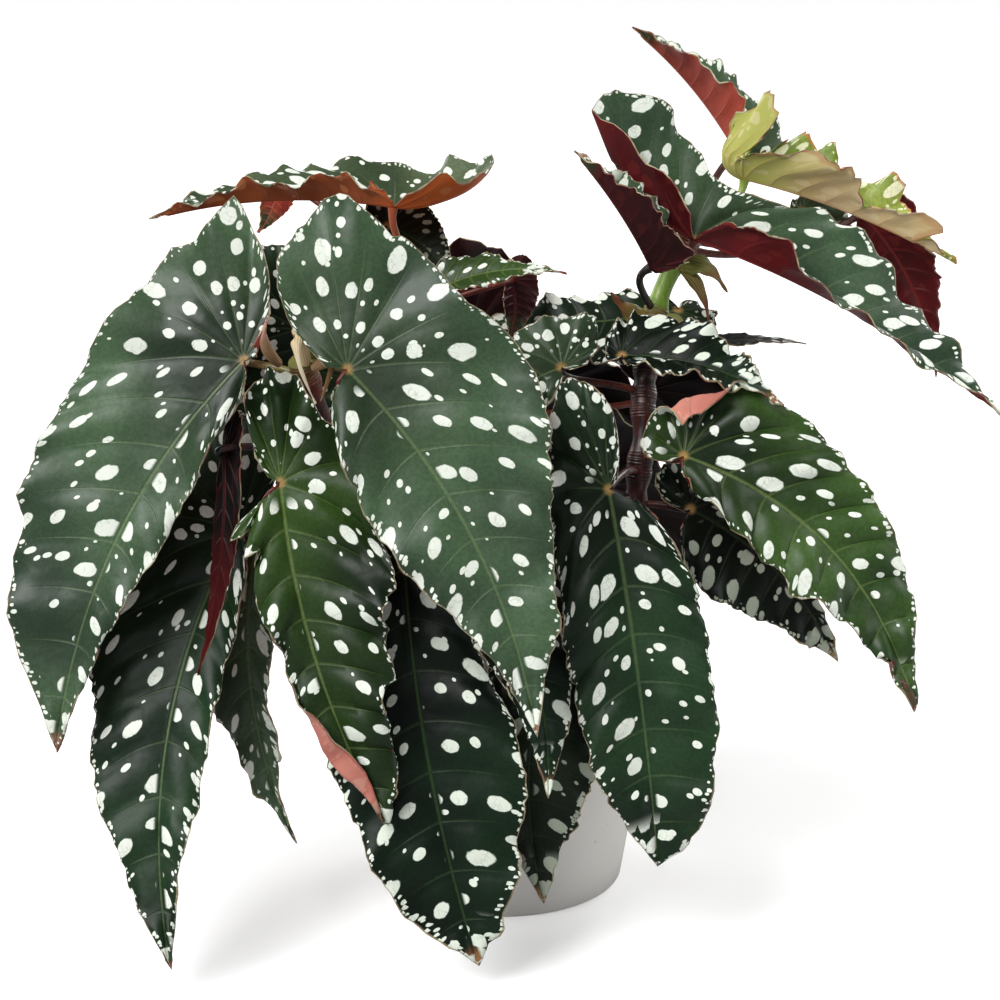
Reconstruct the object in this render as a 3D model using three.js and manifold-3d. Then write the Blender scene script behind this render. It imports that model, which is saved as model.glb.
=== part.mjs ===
// A potted polka dot begonia, a cane begonia with lopsided leaves, in millimetres with +Z up.
// The pot stands on the origin. The viewer's side is -Y, and +X is on the viewer's right.
import * as THREE from 'three';
import { mergeVertices } from 'three/addons/utils/BufferGeometryUtils.js';
import Module from 'manifold-3d';

const wasm = await Module();
wasm.setup();

// Pot and soil
const POT_HEIGHT = 112;
const POT_TOP_RADIUS = 62;
const POT_BASE_RADIUS = 45;
const POT_WALL = 3.5;
const POT_FLOOR = 5;
const RIM_ROUND = 1.75;
const POT_SIDES = 36;
const SOIL_DEPTH_BELOW_RIM = 11;
const SOIL_BUMP = 1.2;
const SOIL_SIDE_CLEARANCE = 0.7;
const GAP = 0.3;

// Stems
const CANE_RADIUS = 3.6;
const NODE_RADIUS = 5.0;
const CANE_SIDES = 9;
const PETIOLE_RADIUS = 1.7;
const PETIOLE_SIDES = 6;
const PETIOLE_STEP = 13;
const PETIOLE_STRAIGHT_END = 14;
const PETIOLE_FOOT_SHARE = 0.35;
const CANE_ROOT_DEPTH = 20;
const CANE_STEPS_PER_POINT = 3;
const STIPULE_THICKNESS = 1.2;
const STIPULE_SIDES = 6;

// Blades: one outline for all, as fractions of the distance from the stalk to the tip.
// The first number runs along that line, the second across it towards the blade's big lobe.
const BLADE_THICKNESS = 0.8;
const BIG_EDGE = new THREE.SplineCurve([
  [-0.03, -0.05], [-0.16, -0.09], [-0.30, -0.05], [-0.385, 0.06], [-0.37, 0.17], [-0.26, 0.255],
  [-0.10, 0.315], [0.08, 0.365], [0.27, 0.375], [0.45, 0.335], [0.62, 0.255], [0.78, 0.165],
  [0.90, 0.075], [1, 0],
].map(([p, q]) => new THREE.Vector2(p, q)));
const SMALL_EDGE = new THREE.SplineCurve([
  [0.03, -0.055], [0.10, -0.09], [0.20, -0.105], [0.36, -0.10], [0.54, -0.06], [0.72, -0.02],
  [0.87, 0], [1, 0],
].map(([p, q]) => new THREE.Vector2(p, q)));
const BIG_FORK = 0.20;
const SMALL_FORK = 0.12;
const FOLD_SETTLES = 0.6;
const OUTLINE_BOW = 0.09;
const SMALL_HALF_WAVES = 0.6;
const DENT_WIDTH = 0.07;

// How finely a blade is divided: rays over the big lobe and the small one, steps along the midrib, and
// rings from the midrib out to the edge.
const LARGE_BLADE = { bigRays: 7, smallRays: 2, steps: 6, rings: 3 };
const SMALL_BLADE = { bigRays: 6, smallRays: 2, steps: 5, rings: 2 };
const LARGE_BLADE_LENGTH = 75;

// Canes: hand-chosen routes from the soil up. The swollen nodes come where the leaves are attached.
const CANES = {
  cane_left: { route: [[-24, -12, 101], [-40, -30, 140], [-56, -50, 176], [-66, -66, 210]] },
  cane_middle: { route: [[-8, 10, 101], [-16, 6, 150], [-26, 2, 195], [-32, -2, 232]] },
  cane_right: {
    route: [
      [24, -6, 101], [44, -26, 140], [49, -26, 166], [51, -14, 195], [56, -5, 218], [63, 0, 232],
      [70, 12, 241],
    ],
  },
  cane_back: { route: [[8, 28, 101], [10, 40, 136], [10, 50, 166], [6, 54, 190]] },
};

// Stipules: dry or fleshy scales at the canes' upper nodes, each from its node at `at` to a free tip.
const STIPULES = [
  { cane: 'cane_left', at: 0.97, tip: [-77, -75, 227], width: 5 },
  { cane: 'cane_left', at: 0.99, tip: [-69, -81, 224], width: 5 },
  { cane: 'cane_left', at: 0.95, tip: [-63, -78, 221], width: 6 },
  { cane: 'cane_right', at: 0.76, tip: [39, -12, 221], width: 5 },
  { cane: 'cane_right', at: 0.86, tip: [79, -12, 224], width: 7 },
  { cane: 'cane_right', at: 0.85, tip: [73, -12, 210], width: 5 },
];

// Leaves: base is the stalk's end, tip the blade's point, face the side that its top looks to, side which
// side of the midrib the big lobe is on. Folds and curls raise the two halves like a V or a cup, in radians.
// Wide, lobe, lap, skew, blunt and dent change the outline. Ruffle (in mm), waves and phase shape the waved
// edge, and lift is how far a stalk rises before it bends to its blade.
const LEAF_DEFAULTS = {
  side: 1, arch: 0.3, lobeBend: 0, foldBig: 0.1, foldSmall: 0.1, curlBig: -0.4, curlSmall: -0.4, bow: 0.08,
  wideBig: 1, wideSmall: 1, lobe: 1, lap: 1, skew: 0, blunt: 0, dent: 0, dentAt: 0.52, ruffle: 2, waves: 6,
  phase: 0, lift: 0.12, color: 'leaf_green',
};
const LEAVES = [
  { name: 'leaf_left_front', cane: 'cane_left', at: 0.93, base: [-85, -62, 209], tip: [-149, -88, 80],
    side: -1, face: [-0.25, -0.95, 0.2], arch: 0.25, wideBig: 0.86, wideSmall: 0.5, lobe: 0.8, lap: 0.8,
    skew: 0.16, blunt: 1, phase: 1 },
  { name: 'leaf_centre_front', cane: 'cane_left', at: 0.98, base: [-49, -92, 213], tip: [12, -118, 97],
    face: [0.05, -1, 0.25], arch: 0.2, skew: 0.12, phase: 2 },
  { name: 'leaf_centre_waved', cane: 'cane_left', at: 0.72, base: [-72, -84, 173], tip: [-37, -104, 60],
    face: [0, -1, 0.1], bow: 0, wideBig: 0.6, wideSmall: 0.9, lobe: 0.8, blunt: 0.6, ruffle: 3.5,
    waves: 8 },
  { name: 'leaf_lower_left', cane: 'cane_left', at: 0.45, base: [-90, -45, 145], tip: [-110, -112, 12],
    side: -1, face: [-0.2, -0.9, 0.4], wideBig: 0.72, wideSmall: 0.55, lobe: 0.9, blunt: 0.6, phase: 3 },
  { name: 'leaf_red_sliver', cane: 'cane_left', at: 0.62, base: [-92, -66, 178], tip: [-101, -84, 106],
    side: -1, face: [0.6, 0.8, 0], arch: -0.2, wideBig: 0.28, wideSmall: 0.35, lobe: 0.5, ruffle: 1 },
  { name: 'leaf_behind_lower_left', cane: 'cane_left', at: 0.35, base: [-83, -34, 144], tip: [-71, -62, 36],
    side: -1, face: [-0.3, -0.9, 0.3], wideBig: 0.6, wideSmall: 0.4, lobe: 0.5, phase: 1 },
  { name: 'leaf_bottom_centre', cane: 'cane_middle', at: 0.25, base: [-32, -70, 139], tip: [-7, -106, 10],
    side: -1, face: [0, -0.9, 0.35], bow: 0.03, wideBig: 0.7, wideSmall: 0.95, lobe: 0.6, blunt: 1.7,
    phase: 2 },
  { name: 'leaf_behind_bottom', cane: 'cane_right', at: 0.12, base: [20, -66, 119], tip: [15, -86, 24],
    side: -1, face: [0.1, -0.9, 0.1], wideBig: 0.6, wideSmall: 1.2, blunt: 0.6 },
  { name: 'leaf_behind_centre', cane: 'cane_middle', at: 0.4, base: [-15, -72, 164], tip: [16, -102, 69],
    face: [0.2, -0.9, 0.1], wideBig: 0.8 },
  { name: 'leaf_right_centre', cane: 'cane_right', at: 0.3, base: [36, -78, 169], tip: [53, -98, 43],
    side: -1, face: [0.05, -1, 0.1], bow: -0.01, wideBig: 0.5, wideSmall: 0.88, lobe: 0.75, blunt: 2.2,
    ruffle: 2.5, phase: 2 },
  { name: 'leaf_right', cane: 'cane_right', at: 0.33, base: [62, -54, 174], tip: [141, -73, 89],
    face: [0.2, -0.85, 0.5], bow: 0.13, wideBig: 0.85, wideSmall: 0.9, lobe: 0.4, blunt: 0.5, ruffle: 2.5 },
  { name: 'leaf_behind_right', cane: 'cane_right', at: 0.22, base: [66, -36, 150], tip: [119, -36, 94],
    face: [0.2, -0.9, 0.3], wideBig: 0.6, wideSmall: 1.6, lobe: 0.6, phase: 4 },
  { name: 'leaf_cupped_right', cane: 'cane_right', at: 0.62, base: [42, -25, 202], tip: [96, -48, 190],
    face: [0, -0.5, 0.87], lobeBend: 1, foldBig: 0.35, foldSmall: 0.35, wideBig: 0.9, lobe: 0.35,
    phase: 2 },
  { name: 'leaf_round_lobe', cane: 'cane_right', at: 0.45, base: [21, -34, 200], tip: [-20, -56, 170],
    side: -1, face: [-0.1, -0.9, 0.5], phase: 3 },
  { name: 'leaf_small_behind_top', cane: 'cane_right', at: 0.42, base: [64, 18, 209], tip: [-7, 17, 205],
    face: [0, -0.6, 0.8], wideBig: 0.85, wideSmall: 0.9, lobe: 0.5, blunt: 0.8 },
  { name: 'leaf_narrow_point', cane: 'cane_right', at: 0.5, base: [69, 22, 194], tip: [112, 30, 194],
    face: [0, -0.1, 1], wideBig: 0.5, lobe: 0.5, ruffle: 1 },
  { name: 'leaf_top_left', cane: 'cane_middle', at: 0.98, base: [-37, -8, 251], tip: [-120, -22, 249],
    side: -1, face: [0, 0.2, 1], arch: 0.45, lobeBend: 2.2, foldBig: 0.55, foldSmall: 0.75, curlBig: 0,
    curlSmall: 0, wideSmall: 0.8, lobe: 1.5, lap: 1.8, color: 'leaf_copper' },
  { name: 'leaf_behind_nodes', cane: 'cane_middle', at: 0.72, base: [-69, -27, 212], tip: [-66, -30, 158],
    side: -1, face: [0, -0.9, 0.2], wideBig: 1.6, wideSmall: 1.9, lobe: 1.4, phase: 2 },
  { name: 'leaf_red_behind_left', cane: 'cane_middle', at: 0.86, base: [-80, 42, 252], tip: [-88, 34, 234],
    side: -1, face: [0, 0.9, 0.4], wideSmall: 1.5, lobe: 0.5 },
  { name: 'leaf_small_dark', cane: 'cane_middle', at: 0.9, base: [-40, 16, 240], tip: [-16, 0, 222],
    face: [0.1, -0.9, 0.4], wideBig: 1.2, wideSmall: 1.2, ruffle: 1 },
  { name: 'leaf_middle_green', cane: 'cane_middle', at: 0.82, base: [-21, -22, 225], tip: [23, -26, 231],
    face: [0, -0.6, 0.8], wideBig: 0.8, blunt: -0.7, ruffle: 1 },
  { name: 'leaf_middle_red', cane: 'cane_middle', at: 0.8, base: [4, 8, 222], tip: [3, 2, 200], side: -1,
    face: [0, 0.9, 0.3], wideBig: 1.2, ruffle: 1 },
  { name: 'leaf_top_maroon', cane: 'cane_right', at: 0.62, base: [52, -20, 232], tip: [25, -24, 273],
    face: [0.8, 0, 0.6], foldBig: 1.05, foldSmall: 1.05, curlBig: 0, curlSmall: 0, wideSmall: 1.6,
    lobe: 0.15, ruffle: 1 },
  { name: 'leaf_top_long', cane: 'cane_right', at: 0.84, base: [67, -16, 241], tip: [174, -38, 182],
    face: [0.45, -0.1, 0.87], lobeBend: 2.2, foldBig: 1.2, foldBigTip: 0.7, foldSmall: 1.2,
    foldSmallTip: 0.1, curlBig: 0, curlSmall: 0.3, bow: 0.04, wideBig: 0.88, wideSmall: 0.8, lobe: 1.35,
    lap: 2.5, blunt: -0.35, dent: 0.5, dentAt: 0.53, phase: 1 },
  { name: 'leaf_top_high', cane: 'cane_right', at: 0.9, lift: -0.2, base: [87, 52, 260], tip: [48, 60, 305],
    side: -1, face: [0.75, -0.12, 0.66], lobeBend: 2, foldBig: 0.9, foldSmall: 0.8, curlBig: 0,
    curlSmall: 0, wideSmall: 1.7, lobe: 2, ruffle: 1 },
  { name: 'leaf_top_back', cane: 'cane_right', at: 0.88, lift: -0.15, base: [132, 42, 240],
    tip: [160, 30, 181], side: -1, face: [0.5, 0.8, 0.3], wideBig: 0.8, lobe: 0.2, ruffle: 1 },
  { name: 'leaf_top_behind', cane: 'cane_right', at: 0.93, lift: -0.15, base: [110, 40, 241],
    tip: [133, 34, 225], face: [0.2, -0.8, 0.6], lobe: 0.5, ruffle: 1 },
  { name: 'leaf_young', cane: 'cane_right', at: 1, base: [88, 32, 254], tip: [162, 10, 227], side: -1,
    face: [0.1, -0.1, 1], arch: 0.5, lobeBend: 5, foldBig: 1.1, foldSmall: 0.92, curlBig: 0, curlSmall: 0,
    wideBig: 0.65, wideSmall: 1.2, lobe: 2.2, ruffle: 2.5, waves: 9, color: 'leaf_young' },
  { name: 'leaf_back_left', cane: 'cane_back', at: 0.8, base: [-12, 76, 187], tip: [-56, 108, 86],
    face: [-0.3, 0.95, 0.2], wideSmall: 1.4, phase: 1 },
  { name: 'leaf_back_centre', cane: 'cane_back', at: 0.98, base: [18, 80, 166], tip: [26, 116, 74],
    side: -1, face: [0.15, 1, 0.2], lobe: 0.7, phase: 2 },
  { name: 'leaf_back_right', cane: 'cane_back', at: 0.6, base: [58, 66, 168], tip: [96, 88, 80], side: -1,
    face: [0.5, 0.9, 0.2], wideBig: 0.9, phase: 3 },
  { name: 'leaf_back_low_left', cane: 'cane_back', at: 0.35, base: [-52, 48, 140], tip: [-78, 86, 42],
    face: [-0.6, 0.8, 0.2], wideBig: 0.8, phase: 4 },
  { name: 'leaf_back_low_right', cane: 'cane_back', at: 0.25, base: [40, 74, 128], tip: [62, 98, 32],
    side: -1, face: [0.4, 0.9, 0.1], wideBig: 0.8, phase: 5 },
  { name: 'leaf_side_left', cane: 'cane_middle', at: 0.6, base: [-78, 10, 186], tip: [-118, -2, 96],
    side: -1, face: [-0.9, 0.4, 0.3], wideBig: 0.8, phase: 2 },
];

const COLORS = {
  pot_glaze: { color: 0xf2f1ec, roughness: 0.35, metalness: 0 },
  soil: { color: 0x3b2a1e, roughness: 0.95, metalness: 0 },
  cane_brown: { color: 0x6e6a3a, roughness: 0.5, metalness: 0 },
  cane_green: { color: 0x86a03c, roughness: 0.5, metalness: 0 },
  leaf_green: { color: 0x2f4a35, roughness: 0.45, metalness: 0 },
  leaf_copper: { color: 0xa0522a, roughness: 0.5, metalness: 0 },
  leaf_young: { color: 0xb9b56a, roughness: 0.5, metalness: 0 },
};

function vector(list) {
  return new THREE.Vector3(...list);
}

function makeMesh(name, geometry, colorName) {
  const mesh = new THREE.Mesh(geometry, new THREE.MeshStandardMaterial(COLORS[colorName]));
  mesh.name = name;
  return mesh;
}

// A closed geometry as a solid that can be joined and cut.
function toSolid(geometry) {
  const bare = geometry.clone();
  bare.deleteAttribute('normal');
  bare.deleteAttribute('uv');
  const merged = mergeVertices(bare, 1e-4);
  return new wasm.Manifold(new wasm.Mesh({
    numProp: 3,
    vertProperties: new Float32Array(merged.attributes.position.array),
    triVerts: new Uint32Array(merged.index.array),
  }));
}

function fromSolid(solid) {
  const data = solid.getMesh();
  const geometry = new THREE.BufferGeometry();
  geometry.setAttribute('position', new THREE.BufferAttribute(new Float32Array(data.vertProperties), 3));
  geometry.setIndex(new THREE.BufferAttribute(new Uint32Array(data.triVerts), 1));
  geometry.computeVertexNormals();
  return geometry;
}

// The pot: a turned shell with a solid floor and a rounded rim.
function potRadiusAt(height) {
  return POT_BASE_RADIUS + (POT_TOP_RADIUS - POT_BASE_RADIUS) * height / POT_HEIGHT;
}

function makePot() {
  const profile = [new THREE.Vector2(0, 0), new THREE.Vector2(POT_BASE_RADIUS - 1, 0)];
  profile.push(new THREE.Vector2(POT_BASE_RADIUS, 1));
  const rimCentre = new THREE.Vector2(POT_TOP_RADIUS - RIM_ROUND, POT_HEIGHT - RIM_ROUND);
  for (let i = 0; i <= 4; i += 1) {
    const angle = Math.PI * i / 4;
    profile.push(new THREE.Vector2(
      rimCentre.x + RIM_ROUND * Math.cos(angle),
      rimCentre.y + RIM_ROUND * Math.sin(angle),
    ));
  }
  profile.push(new THREE.Vector2(potRadiusAt(POT_FLOOR) - POT_WALL, POT_FLOOR));
  profile.push(new THREE.Vector2(0, POT_FLOOR));
  const turned = toSolid(new THREE.LatheGeometry(profile, POT_SIDES).rotateX(Math.PI / 2));
  return makeMesh('pot', fromSolid(turned), 'pot_glaze');
}

// The soil fills the pot's inside, with a slightly uneven top and a plain hole for each cane.
function makeSoil(caneHoles) {
  const top = POT_HEIGHT - SOIL_DEPTH_BELOW_RIM;
  const bottom = POT_FLOOR + GAP;
  const insideAt = (height) => potRadiusAt(height) - POT_WALL - SOIL_SIDE_CLEARANCE;
  const profile = [[0, bottom], [insideAt(bottom), bottom], [insideAt(top), top - SOIL_BUMP]];
  for (const share of [0.8, 0.55, 0.3, 0]) {
    profile.push([insideAt(top) * share, top]);
  }
  const lathe = new THREE.LatheGeometry(profile.map(([r, z]) => new THREE.Vector2(r, z)), POT_SIDES);
  lathe.rotateX(Math.PI / 2);
  const position = lathe.attributes.position;
  for (let i = 0; i < position.count; i += 1) {
    const [x, y] = [position.getX(i), position.getY(i)];
    if (position.getZ(i) === Math.fround(top) && Math.hypot(x, y) > 1) {
      const wave = Math.sin(x * 0.21) + Math.cos(y * 0.17 + x * 0.05);
      position.setZ(i, top + SOIL_BUMP * 0.5 * wave);
    }
  }
  let soil = toSolid(lathe);
  for (const hole of caneHoles) {
    soil = soil.subtract(hole);
  }
  return makeMesh('soil', fromSolid(soil), 'soil');
}

// A round bar along a curve, closed at both ends.
function tube(curve, radius, sides, steps) {
  const section = new THREE.Shape();
  for (let i = 0; i < sides; i += 1) {
    const angle = 2 * Math.PI * i / sides;
    const [x, y] = [radius * Math.cos(angle), radius * Math.sin(angle)];
    if (i === 0) {
      section.moveTo(x, y);
    } else {
      section.lineTo(x, y);
    }
  }
  section.closePath();
  return new THREE.ExtrudeGeometry(section, { steps, extrudePath: curve, bevelEnabled: false });
}

// The part of a cane above the soil.
function caneCurve(name) {
  return new THREE.CatmullRomCurve3(CANES[name].route.map(vector), false, 'catmullrom', 0.5);
}

// The same cane with its root, which stands upright in the soil.
function stemCurve(name, depth) {
  const route = CANES[name].route.map(vector);
  const root = route[0].clone().setZ(route[0].z - depth);
  return new THREE.CatmullRomCurve3([root, ...route], false, 'catmullrom', 0.5);
}

// The blade's own axes: x from base to tip, z to the side that the top looks to.
function leafAxes(leaf) {
  const x = vector(leaf.tip).sub(vector(leaf.base));
  const length = x.length();
  x.normalize();
  const z = vector(leaf.face);
  z.addScaledVector(x, -z.dot(x)).normalize();
  const y = new THREE.Vector3().crossVectors(z, x);
  return { x, y, z, length };
}

// Where the midrib is at p, and its slope: an arc from base to tip, and a second bend behind the stalk.
function midribAt(leaf, p) {
  const arch = Math.abs(leaf.arch) < 0.001 ? 0.001 : leaf.arch;
  const bend = Math.abs(leaf.lobeBend) < 0.001 ? 0.001 : leaf.lobeBend;
  if (p >= 0) {
    const radius = 1 / (2 * Math.sin(arch / 2));
    const slope = arch * (0.5 - p);
    const along = radius * (Math.sin(arch / 2) - Math.sin(slope));
    return { along, rise: radius * (Math.cos(slope) - Math.cos(arch / 2)), slope };
  }
  const slope = arch / 2 + bend * p;
  const along = (Math.sin(slope) - Math.sin(arch / 2)) / bend;
  return { along, rise: (Math.cos(arch / 2) - Math.cos(slope)) / bend, slope };
}

// A point of the top face from its place (p, q) in the flat outline, in the blade's own axes.
function bladePoint(leaf, length, p, q, wave) {
  const bow = p > 0 ? leaf.bow * 4 * p * (1 - p) : 0;
  const across = q - bow;
  const settled = THREE.MathUtils.smoothstep(p, 0, FOLD_SETTLES);
  const fold = across > 0
    ? THREE.MathUtils.lerp(leaf.foldBig, leaf.foldBigTip ?? leaf.foldBig, settled)
    : THREE.MathUtils.lerp(leaf.foldSmall, leaf.foldSmallTip ?? leaf.foldSmall, settled);
  const curl = (across > 0 ? leaf.curlBig : leaf.curlSmall) || 0.001;
  const turned = fold + curl * Math.abs(across);
  const out = Math.sign(across) * (Math.sin(turned) - Math.sin(fold)) / curl;
  const up = (Math.cos(fold) - Math.cos(turned)) / curl + wave / length;
  const rib = midribAt(leaf, p);
  return new THREE.Vector3(
    (rib.along - up * Math.sin(rib.slope)) * length,
    (bow + out) * leaf.side * length,
    (rib.rise + up * Math.cos(rib.slope)) * length,
  );
}

// The edge point at u, 0 at the notch and 1 at the tip, scaled to the leaf's own widths.
function edgeAt(leaf, big, u) {
  const flat = (big ? BIG_EDGE : SMALL_EDGE).getPoint(u);
  const bend = flat.x > 0 ? 4 * flat.x * (1 - flat.x) : 0;
  const dent = big ? leaf.dent * Math.exp(-(((u - leaf.dentAt) / DENT_WIDTH) ** 2)) : 0;
  const lap = big && flat.y < 0 ? leaf.lap : 1;
  const wide = (big ? leaf.wideBig : leaf.wideSmall) * (1 + leaf.blunt * Math.max(0, flat.x) ** 2);
  return {
    p: flat.x < 0 ? flat.x * leaf.lobe : flat.x,
    q: leaf.bow * bend + (flat.y - OUTLINE_BOW * bend) * wide * lap * (1 - dent)
      + (big ? leaf.skew * Math.max(0, -flat.x) : 0),
  };
}

// Where along the edge the vein from the midrib's station v ends.
function edgeParameter(big, v) {
  const fork = big ? BIG_FORK : SMALL_FORK;
  const goal = fork + (1 - fork) * v;
  let [low, high] = [big ? 0.3 : 0, 1];
  for (let i = 0; i < 30; i += 1) {
    const middle = (low + high) / 2;
    if ((big ? BIG_EDGE : SMALL_EDGE).getPoint(middle).x < goal) {
      low = middle;
    } else {
      high = middle;
    }
  }
  return (low + high) / 2;
}

// The rays of one half: the lobe's spread from the stalk, the others leave the midrib one by one.
function halfRays(big, detail) {
  const count = big ? detail.bigRays : detail.smallRays;
  const lobeEnd = edgeParameter(big, 0);
  const rays = [];
  for (let i = 0; i <= count; i += 1) {
    rays.push({ station: 0, u: lobeEnd * i / count });
  }
  for (let k = 1; k <= detail.steps; k += 1) {
    rays.push({ station: k, u: k === detail.steps ? 1 : edgeParameter(big, k / detail.steps) });
  }
  return rays;
}

// A blade: one sheet of triangles over both halves, its copy below, and the rim between them.
function makeLeaf(leaf) {
  const axes = leafAxes(leaf);
  const detail = axes.length > LARGE_BLADE_LENGTH ? LARGE_BLADE : SMALL_BLADE;
  const { steps, rings } = detail;
  const points = [];
  const addPoint = (p, q, wave) => {
    points.push(bladePoint(leaf, axes.length, p, q, wave));
    return points.length - 1;
  };
  const midrib = [];
  for (let k = 0; k <= steps; k += 1) {
    const v = k / steps;
    midrib.push(addPoint(v, leaf.bow * 4 * v * (1 - v), 0));
  }
  const triangles = [];
  const addTriangle = (a, b, c, flip) => {
    if (a !== b && b !== c && c !== a) {
      triangles.push(flip ? [a, c, b] : [a, b, c]);
    }
  };
  for (const big of [true, false]) {
    const flip = big === (leaf.side > 0);
    const rays = halfRays(big, detail).map(({ station, u }) => {
      const v = station / steps;
      const own = leaf.bow * 4 * v * (1 - v);
      const edge = edgeAt(leaf, big, u);
      const ids = [midrib[station]];
      for (let j = 1; j <= rings; j += 1) {
        const s = j / rings;
        const swell = Math.sin(leaf.waves * (big ? 1 : SMALL_HALF_WAVES) * 2 * Math.PI * u + leaf.phase);
        const wave = leaf.ruffle * s ** 3 * swell * Math.sqrt(Math.sin(Math.PI * u));
        const atTip = station === steps;
        ids.push(atTip ? midrib[station] : addPoint(v + s * (edge.p - v), own + s * (edge.q - own), wave));
      }
      return ids;
    });
    for (let r = 0; r < rays.length - 1; r += 1) {
      for (let j = 0; j < rings; j += 1) {
        addTriangle(rays[r][j], rays[r][j + 1], rays[r + 1][j + 1], flip);
        addTriangle(rays[r][j], rays[r + 1][j + 1], rays[r + 1][j], flip);
      }
    }
  }
  const mesh = makeMesh(leaf.name, thicken(points, triangles), leaf.color);
  mesh.position.copy(vector(leaf.base));
  mesh.quaternion.setFromRotationMatrix(new THREE.Matrix4().makeBasis(axes.x, axes.y, axes.z));
  return mesh;
}

// Gives a sheet of triangles its thickness, with the same diagonals above and below.
function thicken(points, triangles) {
  const normals = points.map(() => new THREE.Vector3());
  const openEdges = new Map();
  for (const [a, b, c] of triangles) {
    const ab = points[b].clone().sub(points[a]);
    const normal = ab.cross(points[c].clone().sub(points[a]));
    for (const corner of [a, b, c]) {
      normals[corner].add(normal);
    }
    for (const [from, to] of [[a, b], [b, c], [c, a]]) {
      const twin = `${to} ${from}`;
      if (openEdges.has(twin)) {
        openEdges.delete(twin);
      } else {
        openEdges.set(`${from} ${to}`, [from, to]);
      }
    }
  }
  const lower = points.map((point, i) => {
    return point.clone().addScaledVector(normals[i].normalize(), -BLADE_THICKNESS);
  });
  const count = points.length;
  const index = [];
  for (const [a, b, c] of triangles) {
    index.push(a, b, c, a + count, c + count, b + count);
  }
  for (const [from, to] of openEdges.values()) {
    index.push(to, from, from + count, to, from + count, to + count);
  }
  const geometry = new THREE.BufferGeometry();
  geometry.setFromPoints([...points, ...lower]);
  geometry.setIndex(index);
  geometry.computeVertexNormals();
  return geometry;
}

// A stalk from its cane to just under the blade, which it meets square on.
function petioleCurve(leaf) {
  const axes = leafAxes(leaf);
  const start = caneCurve(leaf.cane).getPoint(leaf.at);
  const { slope } = midribAt(leaf, 0);
  const down = axes.z.clone().multiplyScalar(-Math.cos(slope)).addScaledVector(axes.x, Math.sin(slope));
  const end = vector(leaf.base).addScaledVector(down, BLADE_THICKNESS + GAP);
  const reach = start.distanceTo(end);
  const straight = Math.min(PETIOLE_STRAIGHT_END, reach * PETIOLE_FOOT_SHARE);
  const beforeEnd = end.clone().addScaledVector(down, straight);
  const afterStart = start.clone().lerp(beforeEnd, PETIOLE_FOOT_SHARE);
  afterStart.z += reach * leaf.lift;
  return new THREE.CubicBezierCurve3(start, afterStart, beforeEnd, end);
}

// A stipule: a flat pointed scale with its foot inside the node.
function makeStipule(stipule) {
  const foot = caneCurve(stipule.cane).getPoint(stipule.at);
  const reach = vector(stipule.tip).sub(foot);
  const scale = new THREE.ConeGeometry(stipule.width, reach.length(), STIPULE_SIDES);
  scale.translate(0, reach.length() / 2, 0);
  scale.scale(1, 1, STIPULE_THICKNESS / stipule.width);
  const turn = new THREE.Quaternion();
  turn.setFromUnitVectors(THREE.Object3D.DEFAULT_UP, reach.normalize());
  scale.applyQuaternion(turn);
  scale.translate(...foot.toArray());
  return toSolid(scale);
}

// A cane's stem, or the slightly larger bar that cuts its hole in the soil.
function stemSolid(name, depth, radius) {
  const steps = CANE_STEPS_PER_POINT * CANES[name].route.length;
  return toSolid(tube(stemCurve(name, depth), radius, CANE_SIDES, steps));
}

// A cane: its stem, a swelling at each leaf's node, and the stalks that leave it, grown together.
function makeCane(name) {
  const curve = caneCurve(name);
  let cane = stemSolid(name, CANE_ROOT_DEPTH, CANE_RADIUS);
  for (const leaf of LEAVES.filter((one) => one.cane === name)) {
    const petiole = petioleCurve(leaf);
    const bends = Math.max(4, Math.round(petiole.getLength() / PETIOLE_STEP));
    cane = cane.add(toSolid(tube(petiole, PETIOLE_RADIUS, PETIOLE_SIDES, bends)));
    const node = new THREE.SphereGeometry(NODE_RADIUS, 7, 4);
    node.translate(...curve.getPoint(leaf.at).toArray());
    cane = cane.add(toSolid(node));
  }
  for (const stipule of STIPULES.filter((one) => one.cane === name)) {
    cane = cane.add(makeStipule(stipule));
  }
  return cane;
}

const plant = new THREE.Group();
for (const leaf of LEAVES) {
  Object.assign(leaf, { ...LEAF_DEFAULTS, ...leaf });
}
const caneNames = Object.keys(CANES);
plant.add(makePot());
plant.add(makeSoil(caneNames.map((name) => stemSolid(name, CANE_ROOT_DEPTH + GAP, CANE_RADIUS + 2 * GAP))));
for (const name of caneNames) {
  plant.add(makeMesh(name, fromSolid(makeCane(name)), name === 'cane_right' ? 'cane_green' : 'cane_brown'));
}
for (const leaf of LEAVES) {
  plant.add(makeLeaf(leaf));
}

export default plant;
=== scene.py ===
# %% [markdown]
# # A potted polka dot begonia
#
# This plant is a cane begonia: bamboo-like canes rise from a pot, and each node carries one lopsided "angel wing"
# leaf. The tops are dark green with silver-white spots, the undersides are red. The solid model gives every piece
# its place and size. Here each piece gets its fine surface: waved and toothed blades, quilting between the veins,
# spots that follow the veins, and round stalks.

# %% The solid model as a fixed frame
import math

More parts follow.
